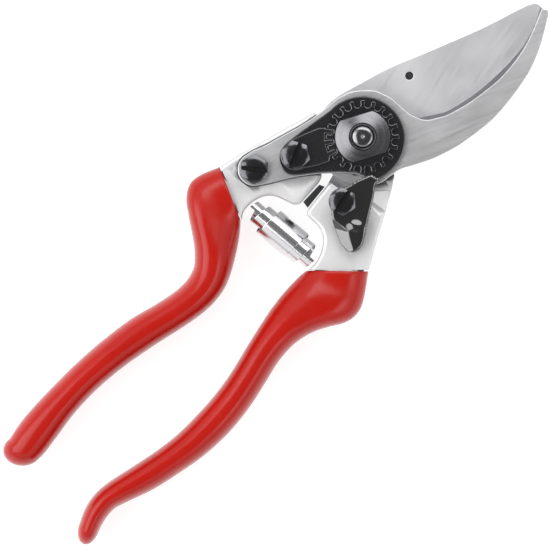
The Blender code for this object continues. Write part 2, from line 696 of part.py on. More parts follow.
def make_center_bolt():
    """Shoulder bolt, from the dimple in its end down to its flat head."""
    top = BOSS_TOP + BOLT_END
    profile = [
        (0, top - DIMPLE_DEPTH), (DIMPLE_R, top), (THREAD_R * 0.6, top - DOME_DROP * 0.15),
        (THREAD_R * 0.85, top - DOME_DROP * 0.45), (THREAD_R, top - DOME_DROP), (THREAD_R, LATCH_TOP),
        (BOLT_R, LATCH_TOP), (BOLT_R, BOLT_HEAD_T), (BOLT_HEAD_R, BOLT_HEAD_T),
        (BOLT_HEAD_R, BOLT_HEAD_CHAMFER), (BOLT_HEAD_R - BOLT_HEAD_CHAMFER, 0), (0, 0)]
    return turned("center_bolt", profile)


def ring(name, outer, inner, low, high):
    """A turned ring, such as a washer or a bush."""
    profile = [(inner, high), (outer, high), (outer, low), (inner, low), (inner, high)]
    return turned(name, profile)


def nut_outline():
    """Outline of the nut's rim: round-bottomed slots with narrow teeth between them."""
    outline = []
    pitch = 360 / NUT_SLOTS
    mouth = math.degrees(SLOT_R / NUT_R)
    for n in range(NUT_SLOTS):
        angle = n * pitch
        centre = polar(SLOT_CENTRE_R, angle)
        outline.append(polar(NUT_R - SLOT_R * 0.3, angle - mouth))
        outline += arc(SLOT_R, angle + 270, angle + 90, 6, centre)
        outline.append(polar(NUT_R - SLOT_R * 0.3, angle + mouth))
        outline.append(polar(NUT_R, angle + pitch / 2))
    return outline


def make_adjustment_nut():
    """Toothed nut with a turned boss that has two flats, and a lip round the bolt's end."""
    nut = plate("adjustment_nut", nut_outline(), NUT_Z, RIM_TOP)
    flat = math.degrees(math.acos(BOSS_FLATS / 2 / BOSS_R))
    outline = []
    for side in (BOSS_FLAT_ANGLE, BOSS_FLAT_ANGLE + 180):
        outline += arc(BOSS_R, side + flat, side + 180 - flat, 16)
    boolean(nut, plate("nut_boss", outline, RIM_TOP - RIM_T / 2, BOSS_TOP), "UNION")
    boolean(nut, plate("nut_lip", circle(LIP_R), BOSS_TOP - BOSS_T / 2, BOSS_TOP + LIP_T), "UNION")
    bore = cylinder("nut_bore", THREAD_R + GAP, above(PIVOT, NUT_Z - PAST), above(PIVOT, BOSS_TOP + PAST))
    boolean(nut, bore, "DIFFERENCE")
    return nut


def make_toothed_segment():
    """Locking segment under the upper screw, with a finger in each of three nut slots."""
    body_r = NUT_R + SEGMENT_CLEARANCE
    finger_r = SLOT_R - GAP
    root = math.degrees(finger_r / body_r)
    outline = [polar(body_r, FINGER_ANGLES[0] - root - 1)]
    for angle in FINGER_ANGLES:
        outline.append(polar(body_r, angle - root))
        outline += arc(finger_r, angle + 270, angle + 90, 6, polar(SLOT_CENTRE_R, angle))
        outline.append(polar(body_r, angle + root))
    outline.append(polar(body_r, FINGER_ANGLES[-1] + root + 1))
    outline += SEGMENT_RIGHT
    outline += arc(SEGMENT_END_R, -15, -195, 16, UPPER_SCREW)
    outline += SEGMENT_LEFT
    return plate("toothed_segment", list(reversed(outline)), NUT_Z, SEGMENT_TOP,
                 [circle(SCREW_R + GAP, UPPER_SCREW, 24)])


def make_latch_plate():
    """Dark plate on the hook's eye, with an arm that runs under the upper screw."""
    outline = [*arc(LATCH_R, -28, 182, 44, LATCH_CENTRE), *smooth(LATCH_ARM, 2), *LATCH_RETURN]
    return plate("latch_plate", outline, LATCH_Z, LATCH_TOP,
                 [circle(BOLT_R + GAP), circle(SCREW_R + GAP, UPPER_SCREW, 24)])


def make_thumb_catch():
    """Thumb catch on its own pivot; its nose is thin where it lies over the latch plate."""
    nose_r = NUT_R + 2 * GAP
    nose = [polar(nose_r + lift, angle) for lift, angle in NOSE_STATIONS]
    outline = smooth([*nose, *CATCH_OUTLINE, nose[0]], 2)[:-1]
    catch = plate("thumb_catch", list(reversed(outline)), CATCH_Z, CATCH_TOP,
                  [circle(SCREW_R + GAP, CATCH_PIVOT, 24)], above(CATCH_PIVOT, CATCH_Z))
    relief = cylinder("catch_relief", EYE_R + 2 * GAP, above(PIVOT, CATCH_Z - PAST),
                      above(PIVOT, LATCH_TOP + GAP), 64)
    boolean(catch, relief, "DIFFERENCE")
    return catch


def make_catch_washer():
    """Washer between the right handle and the catch."""
    low = RIGHT_TOP + GAP
    return plate("catch_washer", circle(CATCH_WASHER_R, CATCH_PIVOT, 32), low, low + WASHER_T,
                 [circle(SCREW_R + GAP, CATCH_PIVOT, 24)], above(CATCH_PIVOT, low))


def make_blade_rivet(name, angle):
    """One of the two rivets that hold the blade to the right handle's head."""
    spot = polar(RIVET_CIRCLE_R, angle)
    return cylinder(name, RIVET_R, above(spot, HEAD_Z + FLUSH), above(spot, BLADE_TOP), 20)


def clear_scene():
    """Remove the scene's objects."""
    for obj in list(bpy.data.objects):
        bpy.data.objects.remove(obj)


def new_collection(name):
    """A collection under the scene."""
    collection = bpy.data.collections.new(name)
    bpy.context.scene.collection.children.link(collection)
    return collection


def pivot_empty(name, place):
    """An empty on a joint's axis, the parent of what turns there."""
    empty = bpy.data.objects.new(name, None)
    empty.empty_display_size = 0.01
    empty.location = place
    shears.objects.link(empty)
    return empty


def build():
    """Make every piece, give it its finish and parent it to what it moves with."""
    steel = finish("brushed_blade_steel", (0.52, 0.52, 0.53), 1.0, 0.35)
    hook_steel = finish("brushed_hook_steel", (0.48, 0.49, 0.50), 1.0, 0.38)
    black_steel = finish("blackened_steel", (0.035, 0.035, 0.038), 0.8, 0.30)
    plated = finish("dark_plated_steel", (0.10, 0.10, 0.11), 1.0, 0.22)
    bright = finish("bright_spring_steel", (0.78, 0.78, 0.79), 1.0, 0.20)
    aluminium = finish("satin_forged_aluminium", (0.72, 0.72, 0.73), 1.0, 0.42)
    vinyl = finish("red_dipped_vinyl", (0.53, 0.030, 0.022), 0.0, 0.28)
    rubber = finish("black_rubber", (0.02, 0.02, 0.02), 0.0, 0.75)
    gloss = finish("gloss_black_catch", (0.02, 0.02, 0.021), 0.0, 0.12)
    bronze = finish("sintered_bronze", (0.50, 0.33, 0.15), 1.0, 0.45)

    right = pivot_empty("right_handle_axis", PIVOT)
    left = pivot_empty("left_handle_axis", PIVOT)
    catch = pivot_empty("thumb_catch_axis", CATCH_PIVOT)
    pieces = (
        (right, aluminium, make_handle_right()),
        (right, vinyl, make_grip("grip_right", right_ribs(), RIGHT_GRIP_TIP)),
        (right, steel, make_cutting_blade()),
        (right, plated, make_blade_rivet("blade_rivet_upper", RIVET_ANGLES[0])),
        (right, plated, make_blade_rivet("blade_rivet_lower", RIVET_ANGLES[1])),
        (right, bronze, ring("pivot_bush", BUSH_R, BOLT_R + GAP, HEAD_Z + FLUSH, BLADE_TOP)),
        (right, rubber, make_shock_absorber()),
        (right, bright, make_return_spring()),
        (right, plated, slotted_screw("catch_screw", CATCH_PIVOT, CATCH_TOP + GAP, SCREW_END,
                                      CATCH_HEAD_FLATS, 78, 102)),
        (right, bright, make_catch_washer()),
        (right, plated, hex_nut("catch_nut", CATCH_PIVOT)),
        (left, aluminium, make_handle_left()),
        (left, vinyl, make_grip("grip_left", left_ribs(), LEFT_GRIP_TIP)),
        (left, hook_steel, make_hook_blade()),
        (left, black_steel, make_latch_plate()),
        (left, black_steel, make_toothed_segment()),
        (left, plated, make_adjustment_nut()),
        (left, bright, ring("center_washer", WASHER_R, BOLT_R + GAP, WASHER_Z, WASHER_Z + WASHER_T)),
        (left, plated, make_center_bolt()),
        (left, plated, slotted_screw("hook_screw_upper", UPPER_SCREW, SEGMENT_TOP + GAP, SCREW_END,
                                     SCREW_HEAD_FLATS, 88, 114)),
        (left, plated, slotted_screw("hook_screw_lower", LOWER_SCREW, HOOK_TOP + GAP, SCREW_END,
                                     SCREW_HEAD_FLATS, 12, 38)),
        (left, plated, hex_nut("hook_nut_upper", UPPER_SCREW)),
        (left, plated, hex_nut("hook_nut_lower", LOWER_SCREW)),
        (catch, gloss, make_thumb_catch()))
    for parent, look, piece in pieces:
        piece.data.materials.append(look)
        piece.parent = parent
        piece.location -= parent.location
        piece.data.shade_smooth()
        piece.data.set_sharp_from_angle(angle=math.radians(35))


clear_scene()
shears = new_collection("pruning_shears")
cutters = new_collection("cutters")
build()
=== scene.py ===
"""Bypass pruning shears: the looks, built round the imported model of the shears."""

import math

import bmesh
import bpy
from mathutils import Matrix, Vector


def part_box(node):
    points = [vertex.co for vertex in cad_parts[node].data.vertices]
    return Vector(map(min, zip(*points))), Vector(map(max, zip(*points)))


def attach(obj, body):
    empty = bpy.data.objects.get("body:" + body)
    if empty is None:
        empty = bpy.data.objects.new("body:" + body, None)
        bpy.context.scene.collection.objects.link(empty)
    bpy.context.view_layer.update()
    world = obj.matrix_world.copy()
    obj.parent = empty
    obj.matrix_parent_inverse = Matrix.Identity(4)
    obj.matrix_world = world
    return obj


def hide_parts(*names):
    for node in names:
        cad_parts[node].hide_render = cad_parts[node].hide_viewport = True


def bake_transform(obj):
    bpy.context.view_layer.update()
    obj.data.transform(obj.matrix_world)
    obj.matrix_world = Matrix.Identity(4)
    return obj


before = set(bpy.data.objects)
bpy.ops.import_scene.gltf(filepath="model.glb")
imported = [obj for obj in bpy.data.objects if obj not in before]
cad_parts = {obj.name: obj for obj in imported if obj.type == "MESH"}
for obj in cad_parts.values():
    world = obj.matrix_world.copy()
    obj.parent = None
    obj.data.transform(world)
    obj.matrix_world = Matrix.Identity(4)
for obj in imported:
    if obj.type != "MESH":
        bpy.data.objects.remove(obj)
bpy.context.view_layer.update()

# ---------------------------------------------------------------------------------------
# Cutting blade. A flat blade of hardened steel, ground fine and satin, with its edge
# ground on the back. The grinding lines run across it. It is riveted to the right head.
# ---------------------------------------------------------------------------------------

MM = 0.001
WELD = 0.000001


def linear(colour):
    """An sRGB hex colour as linear RGBA."""
    parts = [int(colour[n:n + 2], 16) / 255 for n in (1, 3, 5)]
    return (*[p / 12.92 if p <= 0.04045 else ((p + 0.055) / 1.055) ** 2.4 for p in parts], 1)


def add(tree, kind, inputs=None, **settings):
    """A node with its settings; each input is a value, or a socket to link from."""
    made = tree.nodes.new(kind)
    for name, value in settings.items():
        setattr(made, name, value)
    for name, value in (inputs or {}).items():
        if isinstance(value, bpy.types.NodeSocket):
            tree.links.new(value, made.inputs[name])
        else:
            made.inputs[name].default_value = value
    return made


def finish(name, colour, metallic, roughness, **values):
    """A material with one Principled shader, its tree, the shader and Object coordinates."""
    material = bpy.data.materials.new(name)
    material.use_nodes = True
    tree = material.node_tree
    shader = tree.nodes["Principled BSDF"]
    shader.inputs["Base Color"].default_value = linear(colour)
    shader.inputs["Metallic"].default_value = metallic
    shader.inputs["Roughness"].default_value = roughness
    for key, value in values.items():
        shader.inputs[key.replace("_", " ")].default_value = value
    place = add(tree, "ShaderNodeTexCoord").outputs["Object"]
    return material, tree, shader, place


def noise(tree, place, size, detail, **inputs):
    """A noise pattern of a grain size over the given coordinates."""
    inputs = {"Vector": place, "Scale": 1 / size, "Detail": detail, **inputs}
    return add(tree, "ShaderNodeTexNoise", inputs).outputs["Fac"]


def stretched(tree, place, degrees, scale):
    """Coordinates turned about Z and drawn out along their own axes."""
    return add(tree, "ShaderNodeMapping", {
        "Vector": place, "Rotation": (0, 0, math.radians(degrees)), "Scale": scale},
        vector_type="TEXTURE").outputs["Vector"]


def toned(tree, shader, pattern, dark, light):
    """The base colour follows a pattern between two colours."""
    tone = add(tree, "ShaderNodeMix", {
        "Factor": pattern, 6: linear(dark), 7: linear(light)}, data_type="RGBA")
    tree.links.new(tone.outputs[2], shader.inputs["Base Color"])


def glossed(tree, shader, pattern, low, high, start=0.3, end=0.7):
    """The roughness goes from low to high as a pattern goes from start to end."""
    spread = add(tree, "ShaderNodeMapRange", {
        "Value": pattern, "From Min": start, "From Max": end, "To Min": low, "To Max": high})
    tree.links.new(spread.outputs["Result"], shader.inputs["Roughness"])


def raised(tree, shader, pattern, strength, depth, **inputs):
    """The surface rises with a pattern; another relief can be given as its Normal."""
    inputs = {"Height": pattern, "Strength": strength, "Distance": depth, **inputs}
    normal = add(tree, "ShaderNodeBump", inputs).outputs["Normal"]
    tree.links.new(normal, shader.inputs["Normal"])
    return normal


def brushed_steel(name, colour, dark, roughness, lay, line_width, relief):
    """Ground steel: fine lines along one direction that vary its colour, gloss and relief."""
    material, tree, shader, place = finish(name, colour, 1.0, roughness)
    lines = noise(tree, stretched(tree, place, lay, (40, 1, 5)), line_width, 4.0, Roughness=0.7)
    clouds = noise(tree, place, 14 * MM, 2.0)
    mixed = add(tree, "ShaderNodeMath", {0: lines, 1: clouds}, operation="ADD").outputs[0]
    toned(tree, shader, lines, dark, colour)
    glossed(tree, shader, mixed, roughness - 0.06, roughness + 0.06, 0.7, 1.3)
    raised(tree, shader, lines, relief, 0.02 * MM)
    return material


def opened(mesh):
    """A mesh as a bmesh, its doubled corners made one."""
    bm = bmesh.new()
    bm.from_mesh(mesh)
    bmesh.ops.remove_doubles(bm, verts=bm.verts, dist=WELD)
    return bm


def heights(node):
    """The lowest and the highest z of a CAD node."""
    return [corner.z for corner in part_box(node)]


def cap_loops(name, height):
    """Outlines of a CAD node's flat face at a height, the longest first, metal on their left."""
    bm = opened(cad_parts[name].data)
    flat = {f for f in bm.faces if all(abs(v.co.z - height) < 2 * WELD for v in f.verts)}
    after = {}
    for face in flat:
        for loop in face.loops:
            if not any(other in flat for other in loop.edge.link_faces if other is not face):
                after[loop.vert.index] = (loop.link_loop_next.vert.index, loop.vert.co.to_2d())
    up = sum(f.normal.z for f in flat) > 0
    loops = []
    while after:
        start = min(after)
        here, loop = start, []
        while here in after:
            step, point = after.pop(here)
            loop.append(point)
            here = step
        loops.append(loop if up else loop[::-1])
    bm.free()
    return sorted(loops, key=len, reverse=True)


def grown(loop, distance):
    """A closed outline with each edge moved away from the metal by a distance."""
    count = len(loop)
    edges = [Vector(loop[(n + 1) % count]) - Vector(loop[n]) for n in range(count)]
    moved = []
    for n, ahead in enumerate(edges):
        back, ahead = edges[n - 1].normalized(), ahead.normalized()
        side = Vector((back.y + ahead.y, -back.x - ahead.x)).normalized()
        moved.append(Vector(loop[n]) + side * distance / max(0.6, side.dot(Vector((ahead.y, -ahead.x)))))
    gone = set()
    while True:
        flipped = [n for n in range(count) if n not in gone
                   and (moved[(n + 1) % count] - moved[n]).dot(edges[n]) < 0]
        if not flipped or len(gone) > count - 4:
            return moved
        # An edge that has turned round is past its end: its neighbours' lines meet in its place.
        gone.add(flipped[0])
        before, after = flipped[0] - 1, flipped[0] + 1
        while before % count in gone:
            before -= 1
        while after % count in gone:
            after += 1
        here, there = moved[before % count], moved[(after + 1) % count]
        run, back = edges[before % count], edges[after % count]
        cross = run.cross(back)
        corner = (moved[(before + 1) % count] + moved[after % count]) / 2
        if abs(cross) > 0.02 * run.length * back.length:
            corner = here + run * ((there - here).cross(back) / cross)
        for n in range(before + 1, after + 1):
            moved[n % count] = corner


def edged(low_loop, high_loop, low, high, under, over, steps=3):
    """Rings of a plate's side, its edges eased: under and over are (width, height) of each."""
    rings = []
    for n in range(steps + 1):
        turn = math.radians(90 * n / steps)
        loop = grown(low_loop, -under[0] * (1 - math.sin(turn)))
        rings.append([(*p, low + under[1] * (1 - math.cos(turn))) for p in loop])
    for n in range(steps + 1):
        turn = math.radians(90 * n / steps)
        loop = grown(high_loop, -over[0] * (1 - math.cos(turn)))
        rings.append([(*p, high - over[1] * (1 - math.sin(turn))) for p in loop])
    return rings


def loft(bm, rings):
    """Faces between rings of equal point counts, and the edges of the first and last ring."""
    rows = [[bm.verts.new(point) for point in ring] for ring in rings]
    for lower, upper in zip(rows, rows[1:]):
        for n, vert in enumerate(lower):
            after = (n + 1) % len(lower)
            bm.faces.new((vert, lower[after], upper[after], upper[n]))
    return [[bm.edges.get((row[n - 1], row[n])) for n in range(len(row))] for row in (rows[0], rows[-1])]


def capped(rings):
    """A bmesh lofted through rings, the first and the last filled."""
    bm = bmesh.new()
    for edges in loft(bm, rings):
        bmesh.ops.contextual_create(bm, geom=edges)
    return bm


def creased(mesh, crease):
    """Smooth shading, but for the creases past an angle."""
    mesh.shade_smooth()
    mesh.set_sharp_from_angle(angle=math.radians(crease))


def shown(name, bm, material, crease=35):
    """A bmesh as an object, smooth but for creases past an angle."""
    bmesh.ops.recalc_face_normals(bm, faces=bm.faces)
    mesh = bpy.data.meshes.new(name)
    bm.to_mesh(mesh)
    bm.free()
    creased(mesh, crease)
    mesh.materials.append(material)
    obj = bpy.data.objects.new(name, mesh)
    bpy.context.scene.collection.objects.link(obj)
    return obj


def plain(obj):
    """The object with its modifiers made real, so that it is a plain mesh."""
    bpy.context.view_layer.update()
    drawn = obj.evaluated_get(bpy.context.evaluated_depsgraph_get())
    mesh = bpy.data.meshes.new_from_object(drawn)
    obj.modifiers.clear()
    obj.data = mesh
    return obj


def weighted(obj):
    """Normals weighted by face area, so that flats stay flat up to their eased edges."""
    normals = obj.modifiers.new("normals", "WEIGHTED_NORMAL")
    normals.keep_sharp = True
    return plain(obj)


def plate(name, sides, material, crease=35):
    """A plate from the rings of its outer side and of each hole, with both faces filled."""
    bm = bmesh.new()
    for rings in sides:
        loft(bm, rings)
    bmesh.ops.remove_doubles(bm, verts=bm.verts, dist=WELD)
    for height, up in ((sides[0][0][0][2], -1), (sides[0][-1][0][2], 1)):
        edges = [e for e in bm.edges if e.is_boundary and all(abs(v.co.z - height) < WELD for v in e.verts)]
        bmesh.ops.triangle_fill(bm, use_beauty=True, edges=edges, normal=(0, 0, up))
    return weighted(shown(name, bm, material, crease))


def matched(loops, guides):
    """Two outlines turned to start at the point where they lie closest together."""
    best = min(((a - b).length, n, m) for n, a in enumerate(loops) for m, b in enumerate(guides))
    return loops[best[1]:] + loops[:best[1]], guides[best[2]:] + guides[:best[2]]


def placed(obj, body, slot, *nodes):
    """The object rides on a body and stands for its CAD nodes."""
    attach(obj, body)
    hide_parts(*nodes)


def blade_plate(name, node, under, over, material):
    """A blade made again from both faces of its CAD node, its edges eased."""
    low, high = heights(node)
    sides = [edged(*matched(back, front), low, high, under, over)
             for back, front in zip(cap_loops(node, low), cap_loops(node, high))]
    return plate(name, sides, material)


BLADE_UNDER = (0.10 * MM, 0.10 * MM)
BLADE_OVER = (0.14 * MM, 0.08 * MM)
blade_steel = brushed_steel("ground_blade_steel", "#DEDEE0", "#D4D4D7", 0.46, 100, 0.30 * MM, 0.2)
cutting_blade = blade_plate("cutting_blade_ground", "cutting_blade", BLADE_UNDER, BLADE_OVER, blade_steel)
placed(cutting_blade, "right_handle", "blade_steel", "cutting_blade")

# The small hole near the blade's back goes through, but a dark disc is set in it to paint the shade inside
# the hole.
HOLE_PLACE = Vector((-3.1 * MM, 23.0 * MM))
HOLE_SHADE_DEPTH = 0.7 * MM
HOLE_SHADE_BACK = 0.3 * MM
HOLE_SHADE_INSET = 0.1 * MM
HOLE_SHADE_CROWN = (0.5 * MM, 0.2 * MM)
blade_low, blade_high = heights("cutting_blade")
hole_rim = min(cap_loops("cutting_blade", blade_high),
               key=lambda loop: max((p - HOLE_PLACE).length for p in loop))
hole_shade_top = blade_high - HOLE_SHADE_DEPTH
# A matte near-black finish for the disc: painted shade in the hole.
hole_shade_paint = finish("painted_hole_shade", "#1C1C1D", 0.0, 0.6)[0]
hole_shade_rings = ((HOLE_SHADE_INSET, blade_low + HOLE_SHADE_BACK), (HOLE_SHADE_INSET, hole_shade_top - HOLE_SHADE_CROWN[1]),
                (HOLE_SHADE_CROWN[0], hole_shade_top))
hole_shade_disc = plate("grease_in_hole", [[
    [(*p, height) for p in grown(hole_rim[::-1], -inset)] for inset, height in hole_shade_rings]], hole_shade_paint)
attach(hole_shade_disc, "right_handle")

# ---------------------------------------------------------------------------------------
# Hooked counter blade. Forged steel brushed along its length, its inner edge ground back
# at a slope. The tang runs down in a pocket of the left handle, under two screws.
# ---------------------------------------------------------------------------------------

HOOK_UNDER = (0.2 * MM, 0.2 * MM)
HOOK_OVER = (0.34 * MM, 0.18 * MM)
SLOPE_LEAST = 0.02
SLOPE_MOST = 0.75
SLOPE_AREA = 0.4 * MM * MM
hook_steel = brushed_steel("brushed_hook_steel", "#DADADB", "#B4B4B6", 0.46, 66, 0.42 * MM, 0.5)
# The sloped faces of the inner edge get a darker grey copy of the steel: painted shade on that slope.
hook_slope_shade = finish("hook_slope_painted_shade", "#77777A", 1.0, 0.5)[0]
hook_blade = blade_plate("hook_blade_brushed", "hook_blade", HOOK_UNDER, HOOK_OVER, hook_steel)
hook_blade.data.materials.append(hook_slope_shade)
for face in hook_blade.data.polygons:
    face.material_index = int(SLOPE_LEAST < face.normal.z < SLOPE_MOST and face.area > SLOPE_AREA)
placed(hook_blade, "left_handle", "hook_steel", "hook_blade")

# ---------------------------------------------------------------------------------------
# Left and right handles. Aluminium forgings, tumbled to a pale satin, with soft outer
# edges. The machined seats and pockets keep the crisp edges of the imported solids. Below
# the necks they run on as cores inside the grips.
# ---------------------------------------------------------------------------------------

EYE_R = 14.4 * MM
EYE_GAP = 0.6 * MM
NECK_LOW = 3.2 * MM
LEFT_TOP = 14.2 * MM
RIGHT_TOP = 15.6 * MM
NECK_EDGE = (1.3 * MM, 1.1 * MM)
MARGIN = 0.02 * MM
CORE_START = 1.5 * MM
FAR = 0.2


def mm(*points):
    """The given points, written in millimetres, in metres."""
    return [tuple(value * MM for value in point) for point in points]


def through(points, steps):
    """Points on a curve that runs smoothly through the given ones, both ends kept."""
    ends = [points[0], *points, points[-1]]
    curve = []
    for a, b, c, d in zip(ends, ends[1:], ends[2:], ends[3:]):
        for step in range(steps):
            t = step / steps
            curve.append(tuple(
                0.5 * (2 * q + (r - p) * t + (2 * p - 5 * q + 4 * r - s) * t ** 2
                       + (3 * q - p - 3 * r + s) * t ** 3)
                for p, q, r, s in zip(a, b, c, d)))
    return [*curve, tuple(points[-1])]


def polar(radius, degrees, centre=(0, 0)):
    """The point at a radius and an angle from a centre."""
    angle = math.radians(degrees)
    return (centre[0] + radius * math.cos(angle), centre[1] + radius * math.sin(angle))


def arc(radius, start, end, steps, centre=(0, 0)):
    """Points along an arc between two angles in degrees, both ends included."""
    return [polar(radius, start + (end - start) * n / steps, centre) for n in range(steps + 1)]


def boolean(target, tool, operation):
    """Join, cut or intersect the target with a tool, which is used up."""
    modifier = target.modifiers.new(tool.name, "BOOLEAN")
    modifier.operation = operation
    modifier.solver = "EXACT"
    modifier.object = tool
    plain(target)
    bpy.data.objects.remove(tool)
    return target


def merged_copy(name, material):
    """A CAD node's mesh as a new object, its loose triangles merged."""
    return shown(name + "_copy", opened(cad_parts[name].data), material)


def past_mouth(name, outer, inner):
    """A large solid that holds all of a handle past the line of its grip's mouth."""
    along = (Vector(inner) - Vector(outer)).normalized()
    away = Vector((along.y, -along.x))
    if away.y > 0:
        away.negate()
    start = Vector(outer) + away * CORE_START
    corners = [start - along * FAR, start + along * FAR,
               start + along * FAR + away * FAR, start - along * FAR + away * FAR]
    rings = [[(*corner, height) for corner in corners] for height in (-FAR, FAR)]
    return plate(name, [rings], aluminium)


def forged_aluminium():
    """Tumbled forging: pale, satin, with a faint grain and slow unevenness from the die."""
    material, tree, shader, place = finish("tumbled_aluminium", "#E0E0E1", 1.0, 0.56)
    grain = noise(tree, place, 0.5 * MM, 3.0, Roughness=0.6)
    waves = noise(tree, place, 9 * MM, 1.0)
    toned(tree, shader, grain, "#DADADB", "#E5E5E6")
    glossed(tree, shader, waves, 0.52, 0.60)
    fine = raised(tree, shader, grain, 0.25, 0.02 * MM)
    raised(tree, shader, waves, 0.3, 0.3 * MM, Normal=fine)
    return material


def forging(name, node, neck, high, mouth):
    """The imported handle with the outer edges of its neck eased, and its core left as it is."""
    outline = grown(neck, MARGIN)
    sides = edged(outline, outline, NECK_LOW - MARGIN, high + MARGIN, NECK_EDGE, NECK_EDGE, 5)
    handle = boolean(merged_copy(node, aluminium), plate(name + "_neck", [sides], aluminium), "INTERSECT")
    core = boolean(merged_copy(node, aluminium), past_mouth(name + "_core", *mouth), "INTERSECT")
    boolean(handle, core, "UNION")
    creased(handle.data, 28)
    handle.name = name
    return weighted(handle)


aluminium = forged_aluminium()

LEFT_NECK = [
    *through(mm((-15.6, -5.0), (-16.7, -9.0), (-18.5, -15.0), (-20.5, -22.5), (-22.5, -29.5),
                (-23.9, -36.4)), 4),
    *mm((-25.1, -39.2), (-9.2, -46.2)),
    *through(mm((-8.0, -43.4), (-9.4, -41.2), (-9.7, -38.5), (-9.3, -36.0), (-8.4, -33.7),
                (-7.0, -31.9), (-5.0, -30.7), (-2.5, -29.8), (-0.5, -29.1), (0.5, -28.3),
                (0.9, -27.2)), 4),
    *mm((0.5, -20.0), (0.35, -18.6), (-0.2, -17.2), (-1.2, -16.3)),
    *arc(EYE_R + EYE_GAP, 263, 199.5, 24)]
RIGHT_NECK = [
    *arc(EYE_R, -4, 277, 72),
    *mm((2.8, -18.0), (3.8, -26.9), (4.3, -28.0), (5.2, -28.5)),
    *through(mm((8.5, -28.3), (10.7, -28.6), (13.0, -29.8), (15.0, -32.0), (16.2, -34.5),
                (16.8, -37.0), (16.7, -39.8)), 4),
    *mm((18.8, -42.0), (31.7, -29.1)),
    *through(mm((29.6, -26.9), (27.5, -23.0), (25.0, -18.7), (22.5, -14.0), (20.0, -9.5),
                (17.5, -5.2), (15.0, -1.4)), 4)]
LEFT_MOUTH = mm((-24.1, -36.9), (-7.8, -44.0))
RIGHT_MOUTH = mm((30.0, -27.5), (16.4, -40.7))
handle_left = forging("handle_left_forged", "handle_left", LEFT_NECK, LEFT_TOP, LEFT_MOUTH)
placed(handle_left, "left_handle", "aluminium", "handle_left")
handle_right = forging("handle_right_forged", "handle_right", RIGHT_NECK, RIGHT_TOP, RIGHT_MOUTH)
placed(handle_right, "right_handle", "aluminium", "handle_right")

# ---------------------------------------------------------------------------------------
# Grips. Soft vinyl, dipped in one coat over each core, so that it is thick, glossy and
# rounded, with a soft lip at the mouth and a faint orange peel on the surface.
# ---------------------------------------------------------------------------------------

GRIP_WALL = 1.0 * MM
MOUTH_LOW = 1.7 * MM
END_TAPER = 1.0 * MM
GRIP_SIDES = 40
SQUARENESS = 2.35
ROOM_SQUARENESS = 2.6
LIP = 0.35 * MM
LIP_RINGS = ((GRIP_WALL * 0.95, 0), (GRIP_WALL * 0.75, 1), (LIP * 0.7, 1), (LIP * 0.2, 0.6))
ROOM_SHORT = 7  # rings at the rounded end that the room stops before
LEFT_MOUTH_TOP = LEFT_TOP + 2.1 * MM
RIGHT_MOUTH_TOP = RIGHT_TOP + 1.5 * MM

LEFT_GRIP = mm(
    (-24.1, -36.9, -7.8, -44.0), (-26.4, -42.4, -5.9, -46.2), (-26.8, -46.6, -4.1, -48.6),
    (-24.4, -50.6, -2.4, -51.1), (-20.2, -53.8, -0.8, -53.7), (-16.0, -56.6, 0.6, -56.2),
    (-12.4, -59.2, 1.8, -58.6), (-9.8, -61.6, 2.8, -61.2), (-8.0, -64.0, 3.4, -64.0),
    (-6.9, -68.0, 3.7, -68.0), (-7.1, -73.0, 3.3, -73.0), (-8.4, -79.5, 2.1, -79.5),
    (-10.6, -88.0, 0.2, -88.0), (-12.1, -99.0, -1.8, -99.0), (-12.8, -110.0, -2.8, -110.0),
    (-12.8, -120.0, -2.5, -120.0), (-12.5, -129.0, -1.2, -129.0), (-11.8, -135.0, -0.4, -135.0),
    (-10.9, -139.0, -0.4, -138.6))
LEFT_END = (-6.6 * MM, -144.3 * MM)
RIGHT_GRIP = mm(
    (30.0, -27.5, 16.4, -40.7), (33.6, -32.4, 16.2, -43.2), (36.0, -36.6, 16.2, -46.0),
    (36.5, -40.4, 16.3, -48.8), (35.4, -44.0, 16.5, -51.6), (33.2, -47.6, 16.9, -54.6),
    (31.2, -51.6, 17.4, -57.6), (29.9, -56.0, 18.1, -61.0), (29.5, -60.6, 18.9, -64.6),
    (30.0, -66.0, 19.9, -69.0), (31.4, -72.0, 21.2, -74.0), (33.1, -79.5, 22.6, -80.5),
    (34.2, -87.0, 23.5, -87.0), (34.5, -94.0, 23.9, -94.0), (34.0, -102.0, 23.9, -102.0),
    (32.6, -110.0, 23.0, -110.0), (30.6, -119.0, 21.2, -119.0), (27.8, -127.0, 19.4, -127.4),
    (26.3, -132.0, 19.0, -133.0), (26.8, -137.0, 20.0, -138.0), (28.2, -141.0, 21.9, -142.2))
RIGHT_END = (26.8 * MM, -146.1 * MM)


def grip_ribs(pairs, mouth_top, top, tip, lead):
    """Ribs (outer x, y, inner x, y, low, high) from the mouth to the rounded end."""
    last = len(pairs) - 1
    ribs = []
    for n, pair in enumerate(pairs):
        rise = min(1, n / lead)
        rise = rise * rise * (3 - 2 * rise)
        taper = END_TAPER * max(0, (n - last + 4) / 4) ** 2
        ribs.append((*pair, MOUTH_LOW * (1 - rise) + taper, mouth_top + (top - mouth_top) * rise - taper))
    ribs = through(ribs, 5)
    x0, y0, x1, y1, low, high = ribs[-1]
    for degrees in range(12, 90, 11):
        size, travel = math.cos(math.radians(degrees)), math.sin(math.radians(degrees))
        middle = Vector(((x0 + x1) / 2, (y0 + y1) / 2)).lerp(Vector(tip), travel)
        half = Vector((x1 - x0, y1 - y0)) / 2 * size
        tall = (high - low) / 2 * size
        ribs.append((*(middle - half), *(middle + half), (low + high) / 2 - tall, (low + high) / 2 + tall))
    return ribs


